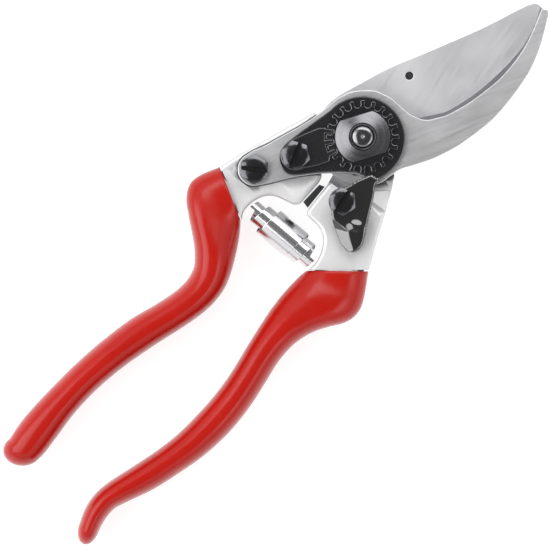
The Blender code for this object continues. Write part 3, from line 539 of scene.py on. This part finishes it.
def rib_ring(rib, inwards=0, squareness=SQUARENESS):
    """Points round a rib, a rounded box, drawn in from its outline by a distance."""
    x0, y0, x1, y1, low, high = rib
    middle = Vector(((x0 + x1) / 2, (y0 + y1) / 2, (low + high) / 2))
    across = Vector((x1 - x0, y1 - y0, 0)) / 2
    across -= across.normalized() * min(inwards, across.length * 0.8)
    up = Vector((0, 0, (high - low) / 2 - min(inwards, (high - low) * 0.4)))
    ring = []
    for n in range(GRIP_SIDES):
        angle = 2 * math.pi * (n + 0.5) / GRIP_SIDES
        side, rise = math.cos(angle), math.sin(angle)
        side = math.copysign(abs(side) ** (2 / squareness), side)
        rise = math.copysign(abs(rise) ** (2 / squareness), rise)
        ring.append(middle + across * side + up * rise)
    return ring


def grip(name, pairs, mouth_top, top, tip, lead, material):
    """A dipped sleeve: its room, its lip and its skin. It swells to full height in lead ribs."""
    ribs = grip_ribs(pairs, mouth_top, top, tip, lead)
    outwards = [rib_ring(rib) for rib in ribs]
    lip = (Vector(outwards[1][0]) - Vector(outwards[0][0])).normalized() * LIP
    lips = [[p - lip * bulge for p in rib_ring(ribs[0], depth)] for depth, bulge in LIP_RINGS]
    inside = [rib_ring(rib, GRIP_WALL, ROOM_SQUARENESS) for rib in ribs[:-ROOM_SHORT]]
    return shown(name, capped([*reversed(inside), *lips, *outwards[1:]]), material, 80)


def dipped_vinyl():
    """Plasticised vinyl dip: glossy and slightly translucent, with a slow orange peel."""
    material, tree, shader, place = finish(
        "red_dipped_vinyl", "#AE150B", 0.0, 0.20, IOR=1.4, Subsurface_Weight=0.05,
        Subsurface_Scale=0.6 * MM)
    peel = noise(tree, place, 2.2 * MM, 1.5)
    toned(tree, shader, noise(tree, place, 16 * MM, 1.0), "#A61309", "#B2180C")
    glossed(tree, shader, peel, 0.20, 0.27)
    raised(tree, shader, peel, 0.25, 0.04 * MM)
    return material


vinyl = dipped_vinyl()
grip_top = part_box("grip_left")[1].z
grip_left = grip("grip_left_dipped", LEFT_GRIP, LEFT_MOUTH_TOP, grip_top, LEFT_END, 5, vinyl)
placed(grip_left, "left_handle", "red_vinyl", "grip_left")
grip_right = grip("grip_right_dipped", RIGHT_GRIP, RIGHT_MOUTH_TOP, grip_top, RIGHT_END, 3, vinyl)
placed(grip_right, "right_handle", "red_vinyl", "grip_right")

# ---------------------------------------------------------------------------------------
# Return spring. A double volute: one strip of bright spring steel wound from its middle
# out to both ends, each turn inside the last, and slipped over a peg on either handle.
# ---------------------------------------------------------------------------------------

SPRING_R = 5.2 * MM
SPRING_STEP = 1.15 * MM
SPRING_TURNS = 2.0
SPRING_PITCH = 3.6 * MM
STRIP_W = 11.0 * MM
STRIP_T = 0.45 * MM
STRIP_EDGE = 0.14 * MM
SPRING_TILT = 5
SPRING_PLACE = (3.5, -37.6)
STEPS_PER_TURN = 72


def strip_section():
    """(along, out) points round the strip's section, its corners rounded."""
    points = []
    for side_x, side_y, start in ((1, -1, -90), (1, 1, 0), (-1, 1, 90), (-1, -1, 180)):
        centre = (side_x * (STRIP_W / 2 - STRIP_EDGE), side_y * (STRIP_T / 2 - STRIP_EDGE))
        points += arc(STRIP_EDGE, start, start + 90, 2, centre)
    return points


def volute(name, material):
    """The strip wound from its middle to both ends along the spring's axis."""
    centre = Vector((*mm(SPRING_PLACE)[0], sum(heights("return_spring")) / 2))
    tilt = math.radians(SPRING_TILT)
    axis = Vector((math.cos(tilt), math.sin(tilt), 0))
    up = Vector((0, 0, 1))
    out = up.cross(axis)
    steps = round(2 * SPRING_TURNS * STEPS_PER_TURN)
    rings = []
    for n in range(steps + 1):
        turns = SPRING_TURNS * (2 * n / steps - 1)
        radius = SPRING_R - SPRING_STEP * abs(turns)
        if turns < 0:
            ease = min(1, -turns / 0.5)
            radius -= 0.5 * SPRING_STEP * ease * ease * (3 - 2 * ease)
        angle = 2 * math.pi * turns
        away = up * math.cos(angle) + out * math.sin(angle)
        middle = centre + axis * turns * SPRING_PITCH
        rings.append([middle + axis * along + away * (radius + rise) for along, rise in strip_section()])
    return weighted(shown(name, capped(rings), material, 40))


def rolled_steel():
    """Cold-rolled spring strip: bright, with fine rolling lines round each turn."""
    material, tree, shader, place = finish("bright_spring_strip", "#E6E6E8", 1.0, 0.18)
    lines = noise(tree, stretched(tree, place, SPRING_TILT, (1, 50, 50)), 0.35 * MM, 3.0)
    glossed(tree, shader, lines, 0.15, 0.22)
    raised(tree, shader, lines, 0.04, 0.01 * MM)
    return material


spring_steel = rolled_steel()
return_spring = volute("return_spring_strip", spring_steel)
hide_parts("return_spring")
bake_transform(return_spring)

# ---------------------------------------------------------------------------------------
# Latch plate and toothed segment. Thin steel pressings, blackened and oiled. The plate
# lies on the hook's eye with an arm under the upper screw, and the segment on the arm.
# ---------------------------------------------------------------------------------------


def blackened_steel(name, colour, roughness):
    """Black oxide on pressed steel: near black, oiled, with a fine irregular grain."""
    material, tree, shader, place = finish(name, colour, 1.0, roughness)
    grain = noise(tree, place, 0.45 * MM, 5.0, Roughness=0.75)
    glossed(tree, shader, grain, roughness - 0.06, roughness + 0.08)
    raised(tree, shader, grain, 0.25, 0.02 * MM)
    return material


def pressing(node, over):
    """A flat CAD plate made again with its edges broken by a shallow chamfer."""
    low, high = heights(node)
    sides = [edged(loop, loop, low, high, PRESSED_UNDER, over, 1) for loop in cap_loops(node, high)]
    placed(plate(node + "_blackened", sides, black_steel, 18), "left_handle", "black_steel", node)


PRESSED_UNDER = (0.1 * MM, 0.1 * MM)
LATCH_OVER = (0.34 * MM, 0.17 * MM)
SEGMENT_OVER = (0.28 * MM, 0.14 * MM)
black_steel = blackened_steel("black_oxide_steel", "#58585A", 0.24)
pressing("latch_plate", LATCH_OVER)
pressing("toothed_segment", SEGMENT_OVER)

# ---------------------------------------------------------------------------------------
# Centre bolt, bush and washers. Turned steel with a domed, dimpled end, in a sintered
# bronze bush that the blade turns on, with a spring washer under the bolt's flat head.
# ---------------------------------------------------------------------------------------

TURNED_STEPS = 96
TURNED_CREASE = 30


def turned(name, profile, material, steps=TURNED_STEPS):
    """A piece turned about the pivot, from (radius, height) points down its outer side."""
    mesh = bpy.data.meshes.new(name)
    mesh.from_pydata([(radius, 0, height) for radius, height in profile],
                     [(n, n + 1) for n in range(len(profile) - 1)], [])
    obj = bpy.data.objects.new(name, mesh)
    bpy.context.scene.collection.objects.link(obj)
    screw = obj.modifiers.new("turn", "SCREW")
    screw.steps = screw.render_steps = steps
    screw.use_merge_vertices = True
    screw.merge_threshold = 0.002 * MM
    plain(obj)
    bm = bmesh.new()
    bm.from_mesh(obj.data)
    bpy.data.objects.remove(obj)
    return shown(name, bm, material, TURNED_CREASE)


def turned_steel(name, colour, roughness, anisotropy):
    """Lathe-turned steel: rings round its axis that stretch each light into a bow."""
    material, tree, shader, place = finish(name, colour, 1.0, roughness, Anisotropic=anisotropy)
    around = add(tree, "ShaderNodeTangent", direction_type="RADIAL", axis="Z")
    tree.links.new(around.outputs["Tangent"], shader.inputs["Tangent"])
    rings = add(tree, "ShaderNodeTexWave", {
        "Vector": place, "Scale": 1 / (6 * MM), "Distortion": 2.0, "Detail": 2.0},
        wave_type="RINGS", rings_direction="Z")
    glossed(tree, shader, rings.outputs["Fac"], roughness - 0.02, roughness + 0.02, 0, 1)
    return material


def washer(name, node, material, ease=0.12 * MM):
    """A turned ring round its own middle, from its CAD node's size."""
    low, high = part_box(node)
    centre = ((low + high) / 2).to_2d()
    inner = max((p - centre).length for p in cap_loops(node, high.z)[1])
    outer = (high.x - low.x) / 2
    obj = turned(name, [
        (inner + ease, high.z), (outer - ease, high.z), (outer, high.z - ease), (outer, low.z + ease),
        (outer - ease, low.z), (inner + ease, low.z), (inner, low.z + ease), (inner, high.z - ease),
        (inner + ease, high.z)], material)
    obj.data.transform(Matrix.Translation(centre.to_3d()))
    return obj


THREAD_R = 3.3 * MM
BOLT_R = 4.0 * MM
DIMPLE = ((0, 0.55 * MM), (0.35 * MM, 0.45 * MM), (0.75 * MM, 0.06 * MM))  # radius, depth
DOME_EDGE_R = THREAD_R - 0.15 * MM
DOME_FALL = 0.75 * MM
HEAD_T = 2.0 * MM
HEAD_TOP_CHAMFER = 0.2 * MM
HEAD_BACK_CHAMFER = 0.4 * MM
bolt_low, bolt_high = heights("center_bolt")
head_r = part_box("center_bolt")[1].x
head_top = bolt_low + HEAD_T
latch_top = heights("latch_plate")[1]

bolt_steel = turned_steel("turned_bolt_steel", "#848486", 0.16, 0.3)
bolt_dome = [polar(1, angle) for angle in range(72, -1, -8)]
center_bolt = turned("center_bolt_turned", [
    *[(radius, bolt_high - depth) for radius, depth in DIMPLE],
    *[(DOME_EDGE_R * across, bolt_high - DOME_FALL * (1 - up)) for across, up in bolt_dome],
    (THREAD_R, latch_top), (BOLT_R, latch_top - 0.2 * MM), (BOLT_R, head_top),
    (head_r - HEAD_TOP_CHAMFER, head_top), (head_r, head_top - HEAD_TOP_CHAMFER),
    (head_r, bolt_low + HEAD_BACK_CHAMFER), (head_r - HEAD_BACK_CHAMFER, bolt_low), (0, bolt_low)],
    bolt_steel)
placed(center_bolt, "left_handle", "dark_plated_steel", "center_bolt")

bronze, tree, shader, place = finish("sintered_bronze", "#B08A52", 1.0, 0.5)
raised(tree, shader, noise(tree, place, 0.3 * MM, 3.0), 0.5, 0.04 * MM)
pivot_bush = washer("pivot_bush_sintered", "pivot_bush", bronze)
placed(pivot_bush, "right_handle", "bronze", "pivot_bush")

washer_steel = turned_steel("bright_washer_steel", "#D8D8DA", 0.28, 0.4)
center_washer = washer("center_washer_turned", "center_washer", washer_steel)
placed(center_washer, "left_handle", "spring_steel", "center_washer")
catch_washer = washer("catch_washer_turned", "catch_washer", washer_steel, 0.06 * MM)
placed(catch_washer, "right_handle", "spring_steel", "catch_washer")

# ---------------------------------------------------------------------------------------
# Adjusting nut. Turned from dark-plated steel, with round slots milled in its rim to
# leave twenty narrow teeth, a coned boss with two flats for a spanner, and a rolled lip.
# ---------------------------------------------------------------------------------------

NUT_R = 11.0 * MM
TEETH = 20
SLOT_R = 1.0 * MM
SLOT_CENTRE_R = NUT_R - 2.2 * MM + SLOT_R
RIM_INNER_R = 5.5 * MM
RIM_T = 2.2 * MM
TOOTH_CHAMFER = (0.28 * MM, 0.15 * MM)
BOSS_R = 8.1 * MM
BOSS_FLATS = 13.0 * MM
BOSS_FLAT_ANGLE = 152
BOSS_T = 2.0 * MM
BOSS_FALL = 1.2 * MM
BOSS_EASE = 0.25 * MM
LIP_T = 0.2 * MM
LIP_OUTER_R = 3.9 * MM
LIP_INNER_R = THREAD_R + 0.1 * MM


def repeater():
    """Geometry Nodes that set a part at every point, turned about Z by the point's own angle."""
    tree = bpy.data.node_groups.new("set_at_points", "GeometryNodeTree")
    for label, kind in (("Geometry", "Geometry"), ("Part", "Object"), ("Finish", "Material")):
        tree.interface.new_socket(label, in_out="INPUT", socket_type="NodeSocket" + kind)
    tree.interface.new_socket("Geometry", in_out="OUTPUT", socket_type="NodeSocketGeometry")
    given = add(tree, "NodeGroupInput").outputs
    part = add(tree, "GeometryNodeObjectInfo", {"Object": given["Part"]})
    angle = add(tree, "GeometryNodeInputNamedAttribute", {"Name": "turn"}, data_type="FLOAT")
    turn = add(tree, "ShaderNodeCombineXYZ", {"Z": angle.outputs["Attribute"]})
    points = add(tree, "GeometryNodeMeshToPoints", {"Mesh": given["Geometry"]})
    copies = add(tree, "GeometryNodeInstanceOnPoints", {
        "Points": points.outputs["Points"], "Instance": part.outputs["Geometry"],
        "Rotation": turn.outputs["Vector"]})
    real = add(tree, "GeometryNodeRealizeInstances", {"Geometry": copies.outputs["Instances"]})
    dressed = add(tree, "GeometryNodeSetMaterial", {
        "Geometry": real.outputs["Geometry"], "Material": given["Finish"]})
    add(tree, "NodeGroupOutput", {"Geometry": dressed.outputs["Geometry"]})
    return tree


set_at_points = repeater()


def repeated(name, part, places, material):
    """Copies of a part at (place, degrees) pairs, made one plain mesh; the part is used up."""
    mesh = bpy.data.meshes.new(name)
    mesh.from_pydata([place for place, _ in places], [], [])
    turns = mesh.attributes.new("turn", "FLOAT", "POINT")
    turns.data.foreach_set("value", [math.radians(degrees) for _, degrees in places])
    obj = bpy.data.objects.new(name, mesh)
    bpy.context.scene.collection.objects.link(obj)
    modifier = obj.modifiers.new("copies", "NODES")
    modifier.node_group = set_at_points
    for item in set_at_points.interface.items_tree:
        if item.name in ("Part", "Finish"):
            modifier[item.identifier] = part if item.name == "Part" else material
    plain(obj)
    bpy.data.objects.remove(part)
    bm = opened(obj.data)
    bpy.data.objects.remove(obj)
    return shown(name, bm, material, 38)


def tooth(low, high):
    """One pitch of the rim: a tooth between the middles of two slots, open where it is cut."""
    half = 180 / TEETH
    mouth = math.degrees(SLOT_R / NUT_R)
    shoulder = NUT_R - SLOT_R * 0.3
    right = [polar(SLOT_R, -half + a, polar(SLOT_CENTRE_R, -half)) for a in range(180, 89, -10)]
    tip = [polar(shoulder, -half + mouth), polar(NUT_R, -half / 4), polar(NUT_R, half / 4),
           polar(shoulder, half - mouth)]
    left = [(x, -y) for x, y in reversed(right)]
    line = [Vector(p) for p in (*right, *tip, *left)]
    wide, deep = TOOTH_CHAMFER
    bm = bmesh.new()
    rows = []
    for drawn_in, height in ((wide / 2, low), (0, low + deep), (0, high - deep), (wide, high)):
        row = [polar(RIM_INNER_R, -half)]
        for n, point in enumerate(line):
            run = line[min(n + 1, len(line) - 1)] - line[max(n - 1, 0)]
            inwards = Vector((-run.y, run.x)).normalized()
            if n in (0, len(line) - 1):
                inwards = -point.normalized()
            row.append(point + inwards * drawn_in)
        row.append(polar(RIM_INNER_R, half))
        rows.append([bm.verts.new((*p, height)) for p in row])
    for lower, upper in zip(rows, rows[1:]):
        for n in range(1, len(lower) - 2):
            bm.faces.new((lower[n], lower[n + 1], upper[n + 1], upper[n]))
        bm.faces.new((lower[-1], lower[0], upper[0], upper[-1]))
    bm.faces.new(rows[0])
    bm.faces.new(rows[-1])
    return shown("tooth", bm, plated)


def nut_boss(low, high):
    """The boss: a coned, turned body with its two flats, and the lip round the bolt's end."""
    top = high - LIP_T
    foot = low + RIM_T / 2
    bore_top = (LIP_INNER_R, high - LIP_T / 2)
    fall = [(BOSS_R - BOSS_EASE * math.sin(math.radians(a)), BOSS_EASE * math.cos(math.radians(a)))
            for a in (0, 30, 60, 90)]
    boss = turned("boss", [
        bore_top, (THREAD_R + LIP_T, high), (LIP_OUTER_R - LIP_T, high), (LIP_OUTER_R, top),
        (LIP_OUTER_R + 0.1 * MM, top - 0.3 * MM), (LIP_OUTER_R + 0.35 * MM, top),
        *[(r + BOSS_EASE * (r < BOSS_R), top - BOSS_FALL + rise) for r, rise in fall],
        (BOSS_R, foot), (LIP_INNER_R, foot), bore_top], nut_steel)
    turn = Matrix.Rotation(math.radians(BOSS_FLAT_ANGLE), 3, "Z")
    bm = bmesh.new()
    bmesh.ops.create_cube(bm, size=1)
    bmesh.ops.scale(bm, vec=(BOSS_FLATS, 4 * BOSS_R, 4 * BOSS_T), verts=bm.verts)
    bmesh.ops.rotate(bm, matrix=turn, verts=bm.verts)
    bmesh.ops.translate(bm, vec=(0, 0, (low + high) / 2), verts=bm.verts)
    return boolean(boss, shown("flats", bm, nut_steel), "INTERSECT")


def plated_steel():
    """Dark nickel plate over polished steel: deep grey, glossy, with faint polishing haze."""
    material, tree, shader, place = finish("dark_plated_steel", "#5C5C5F", 1.0, 0.15)
    haze = noise(tree, place, 1.6 * MM, 3.0)
    glossed(tree, shader, haze, 0.11, 0.21)
    raised(tree, shader, haze, 0.5, 0.06 * MM)
    return material


plated = plated_steel()
nut_steel = turned_steel("dark_plated_nut_steel", "#7A7A7D", 0.22, 0.45)
nut_low, nut_high = heights("adjustment_nut")
pitches = [((0, 0, 0), n * 360 / TEETH + 180 / TEETH) for n in range(TEETH)]
rim = repeated("rim", tooth(nut_low, nut_low + RIM_T), pitches, plated)
boss = nut_boss(nut_low, nut_high)
for part in (rim, boss):
    part.data.materials.append(nut_steel)
for face in boss.data.polygons:
    face.material_index = 1
adjustment_nut = boolean(rim, boss, "UNION")
creased(adjustment_nut.data, TURNED_CREASE)
adjustment_nut = weighted(adjustment_nut)
adjustment_nut.name = "adjustment_nut_turned"
placed(adjustment_nut, "left_handle", "dark_plated_steel", "adjustment_nut")

# ---------------------------------------------------------------------------------------
# Screws, their nuts, and the blade's rivets. Slotted hexagon heads, chamfered and
# polished, plated dark. The nuts sit in recesses at the back, the rivets flush.
# ---------------------------------------------------------------------------------------

SCREW_R = 2.0 * MM
SLOT_W = 1.2 * MM
SLOT_DEPTH = 1.3 * MM
HEAD_CHAMFER = 0.42
HEAD_EASE = 0.10 * MM
DOME_R = 16 * MM
SLOT_LIP = 0.08 * MM
HEAD_H = 3.0 * MM
CONE_LIFT = 0.06 * MM
DOME_SHARES = (1.0, 0.8, 0.6, 0.4, 0.2)
# A matte near-black for the floor and lower walls of each slot: painted shade inside the slot.
painted_slot_shade = finish("painted_slot_shade", "#0B0B0B", 0.0, 0.8)[0]


def hexagon(across_flats, radius_limit, per_side=8):
    """Points round a hexagon with a corner on +X, each held inside a radius."""
    points = []
    for side in range(6):
        start, end = (Vector(polar(across_flats / math.sqrt(3), 60 * (side + n))) for n in (0, 1))
        for n in range(per_side):
            point = start.lerp(end, n / per_side)
            points.append(point * min(1, radius_limit / point.length))
    return points


def rod(name, radius, low, high, segments, material):
    """A plain cylinder on the pivot's axis between two heights."""
    bm = bmesh.new()
    bmesh.ops.create_cone(bm, cap_ends=True, segments=segments, radius1=radius, radius2=radius,
                          depth=high - low)
    bmesh.ops.translate(bm, vec=(0, 0, (low + high) / 2), verts=bm.verts)
    return shown(name, bm, material)


def slotted_screw(name, seat, top, end, across_flats, slot_turn):
    """One screw at the pivot: shank, chamfered hexagon head with a low dome, and its slot."""
    corner_r = across_flats / math.sqrt(3)
    flat_r = across_flats / 2 * 0.88
    outline = hexagon(across_flats, corner_r * 0.985)
    rim = top - flat_r ** 2 / (2 * DOME_R)
    rings = [
        [(*p, seat) for p in outline],
        [(*p, rim - (p.length - flat_r) * HEAD_CHAMFER - CONE_LIFT) for p in outline],
        [(*(p * (1 - HEAD_EASE / p.length)), rim - (p.length - HEAD_EASE - flat_r) * HEAD_CHAMFER)
         for p in outline]]
    for reach in (flat_r * share for share in DOME_SHARES):
        rings.append([(*(p.normalized() * reach), top - reach ** 2 / (2 * DOME_R)) for p in outline])
    head = shown(name, capped(rings), plated, 25)
    head.data.materials.append(painted_slot_shade)
    boolean(head, rod("shank", SCREW_R, end, top - SLOT_DEPTH - 0.2 * MM, 48, plated), "UNION")
    half = SLOT_W / 2
    side = [(half, top - SLOT_DEPTH), (half, rim - SLOT_LIP), (half + SLOT_LIP, rim + SLOT_LIP),
            (half + SLOT_LIP, top + 0.4 * MM)]
    section = [*side, *[(-y, z) for y, z in reversed(side)]]
    bm = capped([[(x, y, z) for y, z in section] for x in (-across_flats, across_flats)])
    bmesh.ops.rotate(bm, matrix=Matrix.Rotation(math.radians(slot_turn), 3, "Z"), verts=bm.verts)
    slot = shown("slot", bm, plated)
    # The faces deep in the slot take the near-black: painted shade.
    slot.data.materials.append(painted_slot_shade)
    for face in slot.data.polygons:
        face.material_index = int(face.center.z < rim - SLOT_LIP)
    boolean(head, slot, "DIFFERENCE")
    bm = bmesh.new()
    bm.from_mesh(head.data)
    bpy.data.objects.remove(head)
    return bm


def middle_of(node):
    """The middle of a CAD node in plan, at height 0."""
    low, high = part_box(node)
    return Vector(((low.x + high.x) / 2, (low.y + high.y) / 2, 0))


for node, body, across, corner, slot_turn in (
        ("hook_screw_upper", "left_handle", 8.0 * MM, 88, 114),
        ("hook_screw_lower", "left_handle", 8.0 * MM, 12, 38),
        ("catch_screw", "right_handle", 7.5 * MM, 78, 102)):
    low, high = heights(node)
    bm = slotted_screw(node, high - HEAD_H, high, low, across, slot_turn - corner)
    bmesh.ops.rotate(bm, matrix=Matrix.Rotation(math.radians(corner), 3, "Z"), verts=bm.verts)
    bmesh.ops.translate(bm, vec=middle_of(node), verts=bm.verts)
    screw = shown(node + "_slotted", bm, plated, 22)
    screw.data.materials.append(painted_slot_shade)
    placed(weighted(screw), body, "dark_plated_steel", node)


def hex_nut(low, high):
    """A plain nut at the pivot, its corners chamfered at both faces."""
    corner_r = NUT_FLATS / math.sqrt(3)
    outline = hexagon(NUT_FLATS, corner_r * 0.99)
    drop = [max(0, p.length - NUT_FLATS / 2 * 0.96) * 0.5 for p in outline]
    inner = [(*(p.normalized() * NUT_FLATS / 2 * 0.95), high) for p in outline]
    sides = [
        [(x, y, low) for x, y, _ in inner],
        [(*p, low + d) for p, d in zip(outline, drop)],
        [(*p, high - d) for p, d in zip(outline, drop)],
        inner]
    bore = [[(*(p.normalized() * NUT_BORE_R), z) for p in reversed(outline)] for z in (low, high)]
    return plate("hex_nut", [sides, bore], plated)


def fasteners(name, part, body, *nodes):
    """Copies of a plated part, one where each CAD node is, as one piece."""
    copies = repeated(name, part, [(middle_of(node), 0) for node in nodes], plated)
    placed(copies, body, "dark_plated_steel", *nodes)


NUT_FLATS = 7.0 * MM
NUT_BORE_R = SCREW_R + 0.3 * MM
nut_span = heights("hook_nut_upper")
fasteners("hook_nuts_plated", hex_nut(*nut_span), "left_handle", "hook_nut_upper", "hook_nut_lower")
fasteners("catch_nut_plated", hex_nut(*nut_span), "right_handle", "catch_nut")


def rivet(low, high):
    """One rivet at the pivot, its ends hammered nearly flush."""
    return turned("rivet", [
        (0, high), (RIVET_R - RIVET_EASE, high - RIVET_CROWN), (RIVET_R, high - RIVET_EASE),
        (RIVET_R, low + RIVET_EASE), (RIVET_R - RIVET_EASE, low + RIVET_CROWN), (0, low)], plated, 40)


RIVET_R = 1.6 * MM
RIVET_EASE = 0.25 * MM
RIVET_CROWN = 0.03 * MM
fasteners("blade_rivets_plated", rivet(*heights("blade_rivet_upper")), "right_handle",
          "blade_rivet_upper", "blade_rivet_lower")

# ---------------------------------------------------------------------------------------
# Rubber stop. A small moulded block of black rubber with rounded edges, held in the right
# handle. The handles close against it. Its stem is inside the handle and isn't drawn.
# ---------------------------------------------------------------------------------------


def black_rubber():
    """Moulded rubber: black, with a fine grain and an uneven, low gloss."""
    material, tree, shader, place = finish("black_rubber", "#1B1B1B", 0.0, 0.48)
    grain = noise(tree, place, 0.4 * MM, 3.0)
    glossed(tree, shader, grain, 0.38, 0.62)
    raised(tree, shader, grain, 0.4, 0.05 * MM)
    return material


STOP_UNDER = (0.3 * MM, 0.3 * MM)
STOP_OVER = (0.45 * MM, 0.4 * MM)
stop_low, stop_high = heights("shock_absorber")
stop_loop = cap_loops("shock_absorber", stop_high)[0]
stop_side = edged(stop_loop, stop_loop, stop_low, stop_high, STOP_UNDER, STOP_OVER)
stop = plate("shock_absorber_moulded", [stop_side], black_rubber())
placed(stop, "right_handle", "black_rubber", "shock_absorber")

# ---------------------------------------------------------------------------------------
# Thumb catch. Moulded in glossy black plastic, domed, with a knob for the thumb and a
# sloped flank at its lower end. It turns on its screw over a thin washer.
# ---------------------------------------------------------------------------------------


def gloss_black():
    """Glossy black moulding: mirror-like, with a very slight waviness."""
    material, tree, shader, place = finish(
        "gloss_black_moulding", "#121213", 0.0, 0.10, IOR=1.9, Coat_Weight=1.0)
    raised(tree, shader, noise(tree, place, 3.5 * MM, 1.0), 0.3, 0.06 * MM)
    return material


THUMB_AT = (17.6, -20.6)
THUMB_SIZE = (3.1, 2.3)
THUMB_TURN = 35
THUMB_RISE = 0.75 * MM
FLANK_AT = (16.8, -23.2)
FLANK_DOWN = (-0.48, -0.88)
FLANK_ALONG = (0.88, -0.48)
FLANK_START = 0.2 * MM
FLANK_SLOPE = 0.42
CATCH_EASE = 0.7 * MM
CATCH_GRID = 0.3 * MM
NOSE_RELIEF_R = 15.0 * MM
NOSE_RELIEF_Z = 18.3 * MM
NOSE_RELIEF_DEPTH = 0.1


def edge_distance(point, loop):
    """The distance from a point to a closed outline."""
    best = 1
    for start, end in zip([loop[-1], *loop], loop):
        run = end - start
        share = max(0, min(1, (point - start).dot(run) / max(run.length_squared, 1e-12)))
        best = min(best, (point - start - run * share).length)
    return best


def catch_height(point, outline, top):
    """The catch's upper surface: eased at its edge, with the thumb knob and the sloped flank."""
    inside = min(1, edge_distance(point, outline) / CATCH_EASE)
    height = top - CATCH_EASE * 0.8 * (1 - math.sqrt(1 - (1 - inside) ** 2))
    away = point - Vector(mm(FLANK_AT)[0])
    down = away.dot(Vector(FLANK_DOWN))
    above = max(0, FLANK_START - 0.6 * down - away.dot(Vector(FLANK_ALONG)))
    height = min(height, top - FLANK_SLOPE * max(0, down - above))
    turn = Matrix.Rotation(-math.radians(THUMB_TURN), 2)
    knob = turn @ (point - Vector(mm(THUMB_AT)[0])) / MM
    reach = (knob.x / THUMB_SIZE[0]) ** 2 + (knob.y / THUMB_SIZE[1]) ** 2
    return height + THUMB_RISE * math.exp(-reach * 1.6)


def catch_skin(loops, low, top):
    """A slab whose upper side is the catch's surface, cut out by the catch's outline."""
    outline = loops[0]
    xs, ys = ([p[axis] for p in outline] for axis in (0, 1))
    wide = math.ceil((max(xs) - min(xs)) / CATCH_GRID) + 3
    deep = math.ceil((max(ys) - min(ys)) / CATCH_GRID) + 3
    start = Vector((min(xs) - CATCH_GRID, min(ys) - CATCH_GRID))
    bm = bmesh.new()
    grid = []
    for n in range(deep):
        points = [start + Vector((m, n)) * CATCH_GRID for m in range(wide)]
        grid.append([bm.verts.new((*p, catch_height(p, outline, top))) for p in points])
    for near, far in zip(grid, grid[1:]):
        for n in range(wide - 1):
            bm.faces.new((near[n], near[n + 1], far[n + 1], far[n]))
    rim = [*grid[0], *[row[-1] for row in grid[1:]], *grid[-1][-2::-1], *[row[0] for row in grid[-2:0:-1]]]
    foot = [bm.verts.new((v.co.x, v.co.y, low - MM)) for v in rim]
    for n in range(len(rim)):
        bm.faces.new((rim[n - 1], rim[n], foot[n], foot[n - 1]))
    bm.faces.new(foot)
    slab = shown("catch_slab", bm, catch_black)
    sides = [[[(*p, height) for p in loop] for height in (low, top + 3 * MM)] for loop in loops]
    return boolean(slab, plate("catch_cutter", sides, catch_black), "INTERSECT")


catch_black = gloss_black()
catch_low, catch_high = heights("thumb_catch")
catch = catch_skin(cap_loops("thumb_catch", catch_high), catch_low, catch_high)
relief = rod("relief", NOSE_RELIEF_R, NOSE_RELIEF_Z - NOSE_RELIEF_DEPTH, NOSE_RELIEF_Z, 128, catch_black)
boolean(catch, relief, "DIFFERENCE")
creased(catch.data, 40)
catch.name = "thumb_catch_moulded"
placed(catch, "thumb_catch", "black_steel", "thumb_catch")

# ---------------------------------------------------------------------------------------
# Studio. A plain pale floor under large soft lights, with a bright band round a dim
# overhead, and a long-lens camera straight above.
# ---------------------------------------------------------------------------------------

FLOOR_SIZE = 20
floor_paint = finish("pale_floor", "#9A9A9A", 0.0, 0.9,
                     Emission_Color=(1, 1, 1, 1), Emission_Strength=0.82)[0]
bm = bmesh.new()
bmesh.ops.create_grid(bm, x_segments=1, y_segments=1, size=FLOOR_SIZE)
floor = shown("studio_floor", bm, floor_paint)

VIEW_WIDTH = 0.1654
VIEW_CENTRE = Vector((0.01053, -0.04774, 0.012))
VIEW_TURN = 45
LENS = 900
SENSOR = 36
LIGHTS_AIM = Vector((0, -0.04, 0))
LIGHTS_AWAY = 0.9

camera_data = bpy.data.cameras.new("camera")
camera_data.lens = LENS
camera_data.sensor_width = SENSOR
camera_data.clip_end = 100
camera = bpy.data.objects.new("camera", camera_data)
camera.location = VIEW_CENTRE + Vector((0, 0, VIEW_WIDTH * LENS / SENSOR))
camera.rotation_euler = (0, 0, math.radians(VIEW_TURN))
bpy.context.scene.collection.objects.link(camera)
bpy.context.scene.camera = camera


def soft_light(name, azimuth, elevation, size, power):
    """A rectangular soft light that looks at the shears, not seen by the camera."""
    lamp = bpy.data.lights.new(name, "AREA")
    lamp.shape = "RECTANGLE"
    lamp.size, lamp.size_y = size
    lamp.energy = power
    obj = bpy.data.objects.new(name, lamp)
    turn, rise = math.radians(azimuth), math.radians(elevation)
    away = Vector((math.cos(turn) * math.cos(rise), math.sin(turn) * math.cos(rise), math.sin(rise)))
    obj.location = away * LIGHTS_AWAY + LIGHTS_AIM
    obj.rotation_euler = away.to_track_quat("Z", "Y").to_euler()
    obj.visible_camera = False
    bpy.context.scene.collection.objects.link(obj)


# azimuth 45 is the right of the main view, 135 its top
soft_light("key", 228, 44, (0.8, 0.9), 6.2)
soft_light("upper", 122, 52, (0.9, 0.35), 3.0)
soft_light("side", 20, 45, (0.6, 0.3), 1.0)

world = bpy.data.worlds.new("studio")
world.use_nodes = True
sky = world.node_tree
direction = add(sky, "ShaderNodeTexCoord").outputs["Generated"]
height = add(sky, "ShaderNodeSeparateXYZ", {"Vector": direction}).outputs["Z"]
fade = add(sky, "ShaderNodeMapRange", {
    "Value": height, "From Min": 0.68, "From Max": 0.84, "To Min": 0.95, "To Max": 0.17})
horizon = add(sky, "ShaderNodeMapRange", {
    "Value": height, "From Min": 0.0, "From Max": 0.4, "To Min": 0.5, "To Max": 1.0})
glow = add(sky, "ShaderNodeMath", {
    0: fade.outputs["Result"], 1: horizon.outputs["Result"]}, operation="MULTIPLY")
sky.links.new(glow.outputs[0], sky.nodes["Background"].inputs["Strength"])
sky.nodes["Background"].inputs["Color"].default_value = (1, 1, 1, 1)
bpy.context.scene.world = world
bpy.context.scene.view_settings.view_transform = "Standard"
